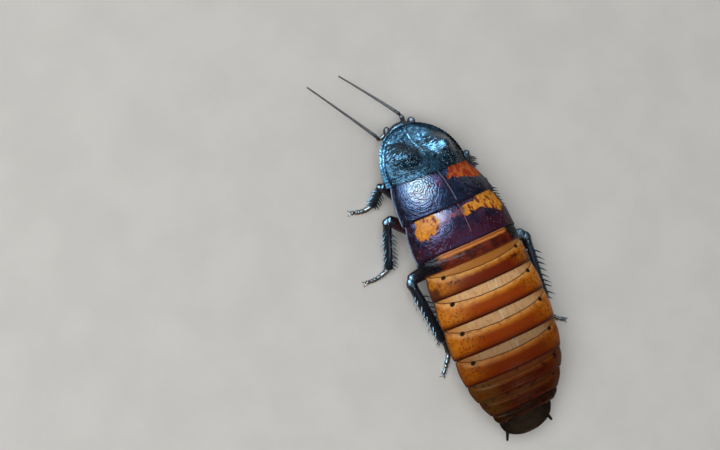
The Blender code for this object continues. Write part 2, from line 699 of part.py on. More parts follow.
def main():
    for obj in list(bpy.data.objects):
        bpy.data.objects.remove(obj)
    MATERIALS.update(make_materials())

    build_pronotum()
    build_notum("mesonotum", "pronotum", "purple_shell")
    build_notum("metanotum", "mesonotum", "purple_shell")
    for name in THORAX_RUNS:
        build_thorax(name)

    plates = ("maroon_plate",) + ("amber_plate",) * 4 + ("brown_plate",) * 2 + ("dark_plate",)
    for number, material in enumerate(plates, start=1):
        before = "metanotum" if number == 1 else f"abdomen_{number - 1}"
        build_abdomen_plate(f"abdomen_{number}", before, material)
    build_tail()

    build_head()
    for side, sign in (("left", 1), ("right", -1)):
        build_eye("eye_" + side, sign, 0.0)
        build_palp(side, sign)
        build_antenna(side)
        build_cercus(side, sign)
    for seed, leg in enumerate(LEGS):
        build_leg(leg, seed)
    stand_on_origin()


MATERIALS = {}
main()
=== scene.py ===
import functools
import json
import math
import random

import bmesh
import bpy
from mathutils import Matrix, Vector, noise

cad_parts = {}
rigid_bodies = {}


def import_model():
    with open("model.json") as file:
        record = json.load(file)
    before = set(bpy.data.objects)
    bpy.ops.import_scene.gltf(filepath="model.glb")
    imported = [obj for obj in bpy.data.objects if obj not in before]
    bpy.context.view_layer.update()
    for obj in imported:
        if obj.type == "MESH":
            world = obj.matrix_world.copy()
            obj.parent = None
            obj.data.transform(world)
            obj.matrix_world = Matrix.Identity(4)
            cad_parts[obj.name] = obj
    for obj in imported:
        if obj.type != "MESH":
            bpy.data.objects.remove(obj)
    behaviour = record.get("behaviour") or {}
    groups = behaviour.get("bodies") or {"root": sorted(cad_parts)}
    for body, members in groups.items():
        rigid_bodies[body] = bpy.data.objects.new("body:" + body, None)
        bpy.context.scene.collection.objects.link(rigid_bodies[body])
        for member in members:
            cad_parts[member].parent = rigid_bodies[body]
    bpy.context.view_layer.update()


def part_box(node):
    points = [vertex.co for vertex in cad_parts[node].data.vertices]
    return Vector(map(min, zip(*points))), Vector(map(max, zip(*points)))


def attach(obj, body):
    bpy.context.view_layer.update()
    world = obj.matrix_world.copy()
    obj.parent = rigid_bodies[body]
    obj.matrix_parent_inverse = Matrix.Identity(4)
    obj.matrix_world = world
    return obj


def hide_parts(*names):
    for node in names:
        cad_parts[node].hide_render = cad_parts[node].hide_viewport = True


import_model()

bl_info = {
    "name": "Hissing Cockroach",
    "version": (1, 0, 0),
    "blender": (4, 5, 0),
    "location": "3D View > Sidebar > Cockroach",
    "description": "A life-size hissing cockroach: shell plates, head, feelers, spined legs and a pale stage",
    "category": "Add Mesh",
}

MM = 0.001
SHARP_ANGLE = math.radians(38)
PHOTO_WIDTH, PHOTO_HEIGHT = 720, 450

# The body's stations from head to tail, in millimetres: name, distance from the shield's front rim,
# height of the back, of the side margin and of the belly, half width, sideways bend and lean in degrees.
STATIONS = (
    ("front", 0.0, 6.2, 6.2, 4.9, 2.0, 1.9, -6.0),
    ("ridge", 7.1, 10.7, 6.8, 5.4, 8.7, 1.2, -6.0),
    ("pronotum", 10.9, 12.7, 6.9, 5.3, 9.2, 0.9, -5.5),
    ("mesonotum", 18.4, 14.0, 7.6, 5.2, 10.6, 0.0, -3.0),
    ("metanotum", 26.4, 14.5, 8.1, 5.2, 11.1, -0.3, -0.5),
    ("abdomen_1", 29.7, 14.4, 8.1, 4.9, 10.8, -0.5, 0.0),
    ("abdomen_2", 34.9, 14.4, 8.0, 3.3, 11.2, -0.6, 0.0),
    ("abdomen_3", 41.0, 14.0, 8.1, 2.5, 11.6, -0.5, 0.0),
    ("abdomen_4", 47.5, 13.0, 7.7, 2.4, 11.6, -0.4, 0.0),
    ("abdomen_5", 53.4, 11.6, 7.1, 2.5, 10.9, -0.2, 0.0),
    ("abdomen_6", 57.3, 10.0, 6.5, 2.7, 9.6, -0.1, 0.0),
    ("abdomen_7", 60.9, 8.2, 6.0, 2.9, 7.7, 0.1, 0.0),
    ("abdomen_8", 62.9, 6.9, 5.7, 3.1, 6.3, 0.4, 0.0),
    ("tail", 67.2, 5.0, 4.9, 3.7, 1.5, 0.7, 0.0),
)
BACK, MARGIN, BELLY, WIDTH, BEND, LEAN = range(2, 8)
LEAN_AXIS_HEIGHT = 8.0
ARCH_POWER = 1.1
BELLY_POWER = 0.6
# Where the fifth abdominal plate's solid ends, by which the solids' frame is found.
FIFTH_PLATE_END = 53.25
CORNER_SWEEP = {"mesonotum": 0.8, "metanotum": 1.2}
# The thorax under its plates: where each part starts and ends, and how far its top lies below the back.
THORAX_RUNS = {
    "prothorax": (2.65, 10.7, 2.3),
    "mesothorax": (11.1, 18.2, 1.75),
    "metathorax": (18.6, 26.2, 1.75),
}

SHIELD_LENGTH = 10.9
SHIELD_HALF_WIDTH = 9.15
SHIELD_FRONT_RUN = 10.2
SHIELD_ROUNDNESS = 2.05
SHIELD_TURN = math.radians(-3.0)
SHIELD_PIVOT = 8.0
SHIELD_INSET = 0.05
ROW_CROWDING = 1.25
HORN_SIDE, HORN_BACK, HORN_RADIUS = 4.6, 5.9, 2.2

HEAD_CENTRE = Vector((1.6, 1.3, 3.05))
HEAD_HALF = Vector((3.2, 1.75, 2.5))
HEAD_PITCH = math.radians(52)
EYE_PLACE = Vector((2.95, -0.35, 1.3))
EYE_HALF = Vector((0.7, 0.95, 1.2))
EYE_TURN = math.radians(18)

FEELERS = {
    "left": ((4.0, -0.35, 1.75), (5.9, 0.8, 2.0), (7.0, -0.4, 3.3), (11.8, -7.2, 4.6), (16.8, -14.4, 5.4)),
    "right": ((-0.6, -0.75, 1.75), (0.1, -1.9, 3.0), (1.6, -3.9, 3.9), (5.6, -8.9, 4.7), (9.8, -14.1, 5.2)),
}

# A feeler's whip: where it starts and how long it runs, as shares of the feeler, and its radii.
WHIP_START, WHIP_RUN = 0.195, 0.8
WHIP_ROOT, WHIP_TIP = 0.4, 0.17

# Legs: coxa from root to tip, hip, knee, ankle and the foot's points to the claws.
LEGS = {
    "fore_left": (
        ((4.7, 7.6, 4.4), (4.9, 14.1, 3.25)), (5.9, 15.2, 3.2), (10.3, 9.5, 4.9), (12.6, 12.8, 1.15),
        ((14.6, 12.9, 0.42), (17.0, 12.3, 0.42)),
    ),
    "mid_left": (
        ((3.5, 15.4, 4.05), (4.0, 21.5, 3.15)), (5.0, 22.4, 3.2), (12.1, 16.2, 5.6), (14.4, 25.9, 1.15),
        ((17.0, 26.5, 0.42), (19.7, 26.5, 0.42)),
    ),
    "hind_left": (
        ((2.4, 22.5, 4.0), (2.4, 27.7, 3.1)), (3.0, 28.45, 3.1), (12.6, 29.2, 5.5), (9.6, 43.7, 1.2),
        ((9.4, 46.2, 0.44), (10.8, 48.3, 0.44), (12.1, 49.8, 0.44)),
    ),
    "fore_right": (
        ((-3.3, 7.6, 3.75), (-4.2, 14.1, 3.1)), (-5.1, 15.2, 3.2), (-9.2, 10.1, 4.3), (-10.4, 13.6, 1.15),
        ((-10.8, 15.7, 0.42), (-11.5, 17.9, 0.42)),
    ),
    "mid_right": (
        ((-3.6, 15.4, 3.9), (-4.1, 21.4, 3.0)), (-5.4, 22.4, 2.9), (-10.0, 16.4, 5.2), (-12.0, 23.9, 1.15),
        ((-12.4, 26.5, 0.42), (-12.9, 29.1, 0.42)),
    ),
    "hind_right": (
        ((-2.9, 22.5, 3.9), (-3.0, 27.7, 3.1)), (-3.6, 28.4, 3.0), (-13.9, 29.8, 5.5), (-14.0, 44.6, 1.2),
        ((-14.0, 47.0, 0.44), (-15.0, 48.7, 0.44), (-16.6, 49.9, 0.44)),
    ),
}
LIMB_SIZE = {"fore": 0.85, "mid": 1.0, "hind": 1.1}
SPINE_ROWS = {"fore": (70, 180, 290), "mid": (60, 180, 300), "hind": (55, 175, 295)}
SPINES_IN_ROW = {"fore": 5, "mid": 8, "hind": 8}
SPINE_LENGTH = {"fore": 1.1, "mid": 1.5, "hind": 1.9}
SPINE_DROOP = 0.15
SPINE_CLEARANCE = 0.12
CLAW_SPREAD = math.radians(34)

# The camera that the photo was taken with, found from its outline, plate edges and spots: its view,
# the picture's down direction, the distance and focal length, and where the body's middle falls in the frame.
VIEW_DIRECTION = Vector((-0.32042, 0.08526, -0.94343))
PICTURE_DOWN = Vector((0.38801, 0.92037, -0.04860))
BODY_MIDDLE = Vector((0.0, 34.0, 9.2))
MIDDLE_IN_PHOTO = (479.27, 277.67)
CAMERA_DISTANCE = 450.0
FOCAL_PIXELS = 2243.8
SENSOR_WIDTH = 36.0


def place_of_frame():
    """Where the solids' origin lies in the maker's own millimetres, read from two of the solids."""
    coxa_low, coxa_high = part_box("coxa_hind_left")
    across = LEGS["hind_left"][0][0][0] - (coxa_low.x + coxa_high.x) / 2 / MM
    along = FIFTH_PLATE_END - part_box("abdomen_5")[1].y / MM
    return Vector((across, along, 0.0))


TO_METRES = Matrix.Scale(MM, 4) @ Matrix.Translation(-place_of_frame())


# Measures of the body

def ease(value, low, high):
    """0 below low, 1 above high and smooth between them."""
    share = min(max((value - low) / (high - low), 0.0), 1.0)
    return share * share * (3 - 2 * share)


def bell(value, centre, width):
    return math.exp(-(((value - centre) / width) ** 2))


def measure(column, y):
    """A smooth curve through one column of the stations, read at y."""
    last = len(STATIONS) - 2
    low = max(0, min(last, sum(row[1] <= y for row in STATIONS) - 1))
    start, end = STATIONS[low], STATIONS[low + 1]
    span = end[1] - start[1]

    def slope(index):
        before = STATIONS[max(index - 1, 0)]
        after = STATIONS[min(index + 1, last + 1)]
        return (after[column] - before[column]) / (after[1] - before[1])

    t = min(max((y - start[1]) / span, 0.0), 1.0)
    rise = start[column] * (1 + 2 * t) * (1 - t) ** 2 + span * slope(low) * t * (1 - t) ** 2
    return rise + end[column] * t * t * (3 - 2 * t) + span * slope(low + 1) * t * t * (t - 1)


def station(name):
    return next(row for row in STATIONS if row[0] == name)


@functools.lru_cache(maxsize=None)
def section(y):
    """The body's measures at y, and the matrix that leans its section."""
    values = {column: measure(column, y) for column in (BACK, MARGIN, BELLY, WIDTH, BEND)}
    axis = Vector((values[BEND], y, LEAN_AXIS_HEIGHT))
    turn = Matrix.Rotation(math.radians(measure(LEAN, y)), 4, "Y")
    return values, Matrix.Translation(axis) @ turn @ Matrix.Translation(-axis)


def back_point(y, s, rise):
    """A point over the back: s runs from -1 at the right margin to 1 at the left one."""
    at, lean = section(y)
    angle = s * math.pi / 2
    x = at[BEND] + (at[WIDTH] + rise) * math.sin(angle)
    z = at[MARGIN] + (at[BACK] - at[MARGIN] + rise) * max(math.cos(angle), 0.0) ** ARCH_POWER
    return lean @ Vector((x, y, z))


def belly_point(y, s, rise):
    at, _ = section(y)
    angle = s * math.pi / 2
    low = at[MARGIN] - 1.0
    x = at[BEND] + (at[WIDTH] - 1.1 + rise) * math.sin(angle)
    return Vector((x, y, low - (low - at[BELLY] + rise) * max(math.cos(angle), 0.0) ** BELLY_POWER))


def interpolate(pairs, share):
    for (s0, v0), (s1, v1) in zip(pairs, pairs[1:]):
        if share <= s1:
            return v0 + (v1 - v0) * ease(share, s0, s1)
    return pairs[-1][1]


def smooth_path(points, count):
    """Evenly numbered points on a Catmull-Rom curve through the given points."""
    points = [Vector(p) for p in points]
    ends = [2 * points[0] - points[1]] + points + [2 * points[-1] - points[-2]]
    path = []
    for k in range(count):
        place = k * (len(points) - 1) / (count - 1)
        i = min(int(place), len(points) - 2)
        t = place - i
        a, b, c, d = ends[i : i + 4]
        curve = 2 * b + (c - a) * t + (2 * a - 5 * b + 4 * c - d) * t * t
        path.append(0.5 * (curve + (3 * b - a - 3 * c + d) * t ** 3))
    return path


# Making pieces

def add_piece(name, bm, material, nodes):
    """Turns a bmesh in the maker's millimetres into a finished piece that rides on the body."""
    bmesh.ops.recalc_face_normals(bm, faces=bm.faces)
    bmesh.ops.transform(bm, matrix=TO_METRES, verts=bm.verts)
    mesh = bpy.data.meshes.new(name)
    bm.to_mesh(mesh)
    bm.free()
    mesh.shade_smooth()
    mesh.set_sharp_from_angle(angle=SHARP_ANGLE)
    mesh.materials.append(material)
    piece = bpy.data.objects.new(name, mesh)
    bpy.context.scene.collection.objects.link(piece)
    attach(piece, "root")
    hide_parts(*nodes)


def lay_plate(bm, columns, rows, top, under):
    """A grid laid over one surface and extruded to another. Its UV map holds the place on the plate."""
    chart = bm.loops.layers.uv.new("plate")
    bmesh.ops.create_grid(bm, x_segments=columns, y_segments=rows, size=0.5)
    made = bmesh.ops.extrude_face_region(bm, geom=bm.faces[:])["geom"]
    upper = {item for item in made if isinstance(item, bmesh.types.BMVert)}
    place = {vert: (vert.co.x + 0.5, vert.co.y + 0.5) for vert in bm.verts}
    for vert, (across, along) in place.items():
        surface = top if vert in upper else under
        vert.co = surface(2 * across - 1, along)
    for face in bm.faces:
        for loop in face.loops:
            loop[chart].uv = place[loop.vert]


def sweep(bm, path, radii, sides=14, flat=1.0):
    """Extrudes a round face along a path. radii are (share of the length, radius) pairs."""
    lengths = [0.0]
    for a, b in zip(path, path[1:]):
        lengths.append(lengths[-1] + (b - a).length)
    frames = []
    for k, centre in enumerate(path):
        ahead = (path[min(k + 1, len(path) - 1)] - path[max(k - 1, 0)]).normalized()
        side = ahead.cross(Vector((0, 0, 1)))
        side = side.normalized() if side.length > 0.01 else Vector((1, 0, 0))
        up = side.cross(ahead)
        radius = interpolate(radii, lengths[k] / lengths[-1])
        frame_here = Matrix((side * radius, up * radius * flat, ahead)).transposed().to_4x4()
        frame_here.translation = centre
        frames.append(frame_here)
    ring = bmesh.ops.create_circle(bm, cap_ends=True, segments=sides, radius=1.0, matrix=frames[0])
    cap = ring["verts"][0].link_faces[0]
    for before, after in zip(frames, frames[1:]):
        made = bmesh.ops.extrude_face_region(bm, geom=[cap])["geom"]
        cap = next(item for item in made if isinstance(item, bmesh.types.BMFace))
        moved = [item for item in made if isinstance(item, bmesh.types.BMVert)]
        bmesh.ops.transform(bm, matrix=after @ before.inverted(), verts=moved)


def lump(bm, centre, half, turn=None, across=24, along=16):
    """A rounded body given by its centre and half sizes."""
    matrix = Matrix.Diagonal((*half, 1.0))
    if turn is not None:
        matrix = turn @ matrix
    matrix = Matrix.Translation(centre) @ matrix
    made = bmesh.ops.create_uvsphere(bm, u_segments=across, v_segments=along, radius=1.0, matrix=matrix)
    return made["verts"]


def thorn(bm, root, direction, length, radius):
    """A slightly hooked spine whose root lies inside what it grows from."""
    tip = root + direction * length
    bow = Vector((0, 0, -1)) * length * SPINE_DROOP
    path = smooth_path((root, root.lerp(tip, 0.5) - bow * 0.4, tip + bow * 0.5), 6)
    sweep(bm, path, ((0, radius), (0.35, radius * 0.8), (0.8, radius * 0.38), (1, 0.03)), 8)


# Making finishes

class Reading:
    """A value read at each point of a surface. Arithmetic on it adds nodes to its finish."""

    def __init__(self, finish, socket):
        self.finish = finish
        self.socket = socket

    def __add__(self, other):
        return self.finish.number("ADD", self, other)

    def __sub__(self, other):
        return self.finish.number("SUBTRACT", self, other)

    def __rsub__(self, other):
        return self.finish.number("SUBTRACT", other, self)

    def __mul__(self, other):
        return self.finish.number("MULTIPLY", self, other)

    def __truediv__(self, other):
        return self.finish.number("DIVIDE", self, other)

    def ease(self, low, high):
        """0 below low and 1 above high, or the other way round if low is the larger."""
        start, end = (0.0, 1.0) if low < high else (1.0, 0.0)
        values = {"Value": self, "From Min": min(low, high), "From Max": max(low, high)}
        values.update({"To Min": start, "To Max": end})
        return self.finish.add("MapRange", values, interpolation_type="SMOOTHSTEP")


class Finish:
    """A procedural material under construction. Its methods add nodes and return readings."""

    def __init__(self, name, coat=0.3, specular_tint=(1.0, 1.0, 1.0, 1.0), polish=0.5):
        self.material = bpy.data.materials.new(name)
        self.material.use_nodes = True
        self.tree = self.material.node_tree
        self.shader = self.tree.nodes["Principled BSDF"]
        self.shader.inputs["Coat Weight"].default_value = coat
        self.shader.inputs["Coat Roughness"].default_value = 0.1
        self.shader.inputs["Specular Tint"].default_value = specular_tint
        self.shader.inputs["Specular IOR Level"].default_value = polish
        place = self.add("TexCoord", {}, "Object")
        self.place = self.add("VectorMath", {0: place, "Scale": 1 / MM}, operation="SCALE")

    def add(self, kind, values, output=0, **settings):
        """Adds a node, sets or links its inputs and returns one of its outputs."""
        node = self.tree.nodes.new("ShaderNode" + kind)
        for key, value in settings.items():
            setattr(node, key, value)
        for key, value in values.items():
            if isinstance(value, Reading):
                self.tree.links.new(value.socket, node.inputs[key])
            elif value is not None:
                node.inputs[key].default_value = value
        return Reading(self, node.outputs[output])

    def number(self, operation, a, b=None, c=None):
        return self.add("Math", {0: a, 1: b, 2: c}, operation=operation)

    def mix(self, share, a, b):
        a, b = [(*c, 1.0) if isinstance(c, tuple) and len(c) == 3 else c for c in (a, b)]
        return self.add("Mix", {0: share, 6: a, 7: b}, 2, data_type="RGBA")

    def stretched(self, x, y, z):
        return self.add("VectorMath", {0: self.place, 1: (x, y, z)}, operation="MULTIPLY")

    def noise(self, scale, where=None, detail=2.0):
        return self.add("TexNoise", {"Vector": where or self.place, "Scale": scale, "Detail": detail})

    def cells(self, scale, where=None, feature="F1"):
        values = {"Vector": where or self.place, "Scale": scale}
        return self.add("TexVoronoi", values, "Distance", feature=feature)

    def pits(self, scale, size):
        """Small round pits, 0 in the middle of one and 1 between them."""
        return self.cells(scale).ease(0.0, size)

    def chart(self):
        """Place on a plate: across from -1 to 1, its size, and along from front to rear."""
        chart = self.add("UVMap", {}, uv_map="plate")
        across = self.add("SeparateXYZ", {0: chart}, 0) * 2.0 - 1.0
        return across, self.number("ABSOLUTE", across), self.add("SeparateXYZ", {0: chart}, 1)

    def reach(self, a, b, centre, half):
        """Distance from an ellipse's centre, 1 on its rim."""
        along_a = (a - centre[0]) / half[0]
        along_b = (b - centre[1]) / half[1]
        return self.number("SQRT", along_a * along_a + along_b * along_b)

    def wear(self, colour, rough, height, depth, shine=None, tint=None):
        """Feeds the shader: colour, roughness, a relief with its depth in millimetres, shine and its tint."""
        relief = self.add("Bump", {"Strength": 1.0, "Distance": depth * MM, "Height": height})
        feeds = {"Base Color": colour, "Roughness": rough, "Normal": relief}
        feeds.update({"Specular IOR Level": shine, "Specular Tint": tint})
        for name, reading in feeds.items():
            if reading is not None:
                self.tree.links.new(reading.socket, self.shader.inputs[name])
        return self.material


def shell_finish(colours):
    """Blue-black shield: polished, pitted at the rear and sides, with a pale middle ridge partly painted as a
    highlight, painted blue sheen streaks, a painted highlight on the left rim and painted glints on the pits.
    """
    finish = Finish("blue_black_shell", 0.0, (0.42, 0.74, 1.0, 1.0), 0.8)
    across, out, along = finish.chart()
    cloud = finish.noise(0.5)
    base = finish.mix(cloud.ease(0.35, 0.7), tuple(colours.shell), (0.004, 0.012, 0.024))
    # Painted sheen: pale blue streaks painted on the left half stand in for the sky's reflection.
    left = across.ease(-0.35, 0.2)
    streaks = finish.noise(0.75, finish.stretched(0.7, 1.3, 1.0), 2.0).ease(0.5, 0.62)
    base = finish.mix(streaks * left * 0.45, base, (0.02, 0.09, 0.18))
    # Pale middle ridge: a real ridge line, its pale blue colour partly a painted highlight.
    middle = out - (along * 0.008 + 0.003)
    ridge = middle.ease(0.006, 0.0) * along.ease(0.05, 0.1) * along.ease(0.66, 0.62)
    base = finish.mix(ridge * 0.85, base, (0.25, 0.5, 0.66))
    # Painted highlight: light blue painted on the left rim only, where the light catches it.
    rim = out.ease(0.82, 0.88) * across.ease(-0.1, 0.3)
    base = finish.mix(rim * cloud.ease(0.25, 0.5) * 0.7, base, (0.04, 0.2, 0.38))
    # Painted glints: pale blue-white flecks on the pits and in the left horn's hollow stand in for glints of
    # light.
    slope = along.ease(0.3, 0.55) * out.ease(0.05, 0.2) * out.ease(0.92, 0.8)
    hollow = finish.reach(across, along, (0.3, 0.66), (0.26, 0.2)).ease(1.15, 0.6)
    thick = finish.number("MAXIMUM", finish.noise(1.3).ease(0.46, 0.54), hollow)
    painted_glint_flecks = finish.cells(2.9).ease(0.3, 0.17) * thick
    base = finish.mix(painted_glint_flecks * slope * 0.85, base, (0.4, 0.66, 0.8))
    pitted = finish.number("MAXIMUM", along.ease(0.5, 0.75), out.ease(0.45, 0.7))
    pits = finish.pits(3.0, 0.4) - 1.0
    pits = pits * finish.noise(1.1).ease(0.3, 0.6) * 0.8
    folds = finish.noise(0.8, finish.stretched(0.8, 1.4, 1.0), 2.0)
    height = pits * pitted + folds * 2.8
    height = finish.noise(2.2, finish.stretched(0.6, 1.5, 1.0), 3.0) * 0.8 + height
    matte = across.ease(-0.1, -0.4) * along.ease(0.6, 0.3)
    rough = matte * 0.3 + (cloud * 0.12 + 0.08)
    shine = along.ease(0.52, 0.78) * -0.82 + 1.0
    shine = shine * (across.ease(-0.42, -0.62) * -0.9 + 1.0)
    shine = shine * (hollow * -0.7 + 1.0)
    return finish.wear(base, rough, height, 0.14, shine)


def thorax_finish(colours, rear):
    """Purple-black plate with rings of fine wrinkles, orange patches, pale dots painted as glints on the
    pits, a painted highlight along the left margin and a pale middle line.
    """
    finish = Finish("metanotum_shell" if rear else "mesonotum_shell", 0.0, (0.75, 0.75, 1.0, 1.0), 0.4)
    across, out, along = finish.chart()
    cloud = finish.noise(0.55)
    blur = finish.noise(0.8, None, 3.0) * 0.36 - 0.18
    warped = along + blur
    warped_out = out + blur * 0.6
    warped_across = across + blur * 0.5
    if rear:
        dark, warm = (0.012, 0.004, 0.01), (0.05, 0.008, 0.014)
    else:
        dark, warm = (0.005, 0.006, 0.011), (0.014, 0.007, 0.013)
    base = finish.mix(cloud.ease(0.4, 0.7), dark, warm)
    if rear:
        flush = along.ease(0.55, 0.8) * out.ease(0.72, 0.5)
        base = finish.mix(flush * 0.8, base, (0.055, 0.006, 0.014))
        front = out.ease(0.0, 0.42) * -0.16 + 0.2
        back = out.ease(0.22, 0.5) * 0.2 + 0.36
        inside = (warped - front).ease(-0.03, 0.03) * (back - warped).ease(-0.03, 0.03)
        inside *= warped_out.ease(0.71, 0.66)
        dim = warped_across.ease(-0.05, 0.02) * warped_across.ease(0.34, 0.28)
        patch = finish.mix(finish.noise(1.6).ease(0.35, 0.65), (0.58, 0.2, 0.014), (0.8, 0.34, 0.04))
        patch = finish.mix(dim * 0.95, patch, (0.05, 0.012, 0.01))
        marks = finish.noise(0.95, finish.stretched(1.3, 0.6, 1.0), 1.0).ease(0.56, 0.63)
        patch = finish.mix(marks, patch, (0.2, 0.03, 0.006))
        base = finish.mix(inside.ease(0.02, 0.4) * 0.8, base, (0.1, 0.01, 0.008))
        base = finish.mix(inside.ease(0.4, 0.8), base, patch)
        line_colour, line_end = (0.32, 0.12, 0.13), 0.8
    else:
        lower = finish.number("MINIMUM", out, 0.6) * 0.42 + 0.33
        inside = (warped * -0.74 + warped_across).ease(-0.25, -0.3) * warped_across.ease(-0.73, -0.68)
        inside *= (lower - warped).ease(-0.02, 0.05)
        streak = finish.noise(1.0, finish.stretched(1.2, 0.6, 1.0), 2.0)
        patch = finish.mix(streak.ease(0.42, 0.6), (0.34, 0.03, 0.01), (0.55, 0.13, 0.014))
        base = finish.mix(inside.ease(0.0, 0.5) * 0.7, base, (0.09, 0.008, 0.006))
        base = finish.mix(inside.ease(0.3, 0.8), base, patch)
        blush = finish.reach(across, along, (0.09, 0.3), (0.07, 0.2)).ease(1.2, 0.3)
        base = finish.mix(blush * 0.7, base, (0.12, 0.012, 0.035))
        line_colour, line_end = (0.3, 0.27, 0.34), 0.92
    # Painted glints: pale dots painted on the pits stand in for small glints of light.
    dotted = (out.ease(0.1, 0.25) if rear else out.ease(0.02, 0.2)) * 0.8
    dots = finish.cells(2.2).ease(0.22, 0.12) * finish.noise(1.0).ease(0.5, 0.56)
    low = finish.number("MAXIMUM", along.ease(0.45, 0.6), out.ease(0.7, 0.78))
    base = finish.mix(dots * dotted * low, base, (0.32, 0.36, 0.42))
    line = out.ease(0.0055, 0.003) * along.ease(line_end, line_end - 0.05)
    base = finish.mix(line * 0.85, base, line_colour)
    # Painted highlight: a pale blue line painted along the margin, stronger on the left, where the light
    # catches the rolled edge.
    rim = out.ease(0.9, 0.925) * cloud.ease(0.2, 0.5) * across.ease(-0.5, 0.5)
    rim = rim * out.ease(0.965, 0.945) * 0.85
    base = finish.mix(rim, base, (0.25, 0.36, 0.52))
    edge = along.ease(0.93, 0.98)
    base = finish.mix(edge * 0.8, base, (0.02, 0.004, 0.006))
    dapple = finish.noise(1.5, None, 3.0).ease(0.52, 0.64) * out.ease(0.97, 0.85)
    base = finish.mix(dapple * (1.0 - inside) * 0.5, base, (0.012, 0.03, 0.075))
    x = (out - 0.38) * 15.0
    y = (along - (-0.12 if rear else 0.28)) * 7.6
    away = finish.number("SQRT", x * x + y * y)
    phase = away * 11.0 + finish.noise(0.7, None, 4.0) * 26.0
    rings = finish.number("SINE", phase) * away.ease(7.5, 3.0) * along.ease(0.02, 0.1)
    if rear:
        rings = rings * (inside.ease(0.0, 0.5) * -0.8 + 1.0)
    pits = finish.pits(2.7, 0.36) - 1.0
    pits = pits * finish.noise(1.2).ease(0.35, 0.6)
    smooth_middle = away.ease(6.5, 3.0) * -0.8 + 1.0
    height = pits * smooth_middle + rings * 0.26
    height = finish.noise(0.9, None, 2.0) * 1.4 + height
    flat = across.ease(-0.55, -0.75)
    rough = flat * 0.2 + (cloud * 0.15 + 0.15)
    rough = inside.ease(0.3, 0.8) * 0.3 + rough
    sheen = away.ease(6.5, 0.8) * (0.9 if rear else 0.5) + 0.1
    dull = inside.ease(0.2, 0.8)
    if rear:
        dull = dull * (dim * -0.9 + 1.0)
    shine = sheen * (dull * -0.93 + 1.0)
    tint = finish.mix(away.ease(1.0, 5.0), (1.0, 0.94, 1.0), (0.5, 0.55, 1.0) if rear else (0.4, 0.54, 1.0))
    return finish.wear(base, rough, height, 0.11, shine, tint)


# The abdomen's plates by number: brightness, its fall towards the tail partly the tail's own darker colour
# and partly painted shade, and on the last three the left side's painted glow of light and the noise value
# where soot starts.
PLATE_TONES_AND_SHADE = {2: 0.9, 3: 1.0, 4: 0.82, 5: 0.48, 6: 0.19, 7: 0.13, 8: 0.03}
PAINTED_GLOW_COLOURS = {6: (0.085, 0.04, 0.008), 7: (0.065, 0.032, 0.007), 8: (0.03, 0.015, 0.005)}
SOOT_STARTS = {6: 0.62, 7: 0.56, 8: 0.5}


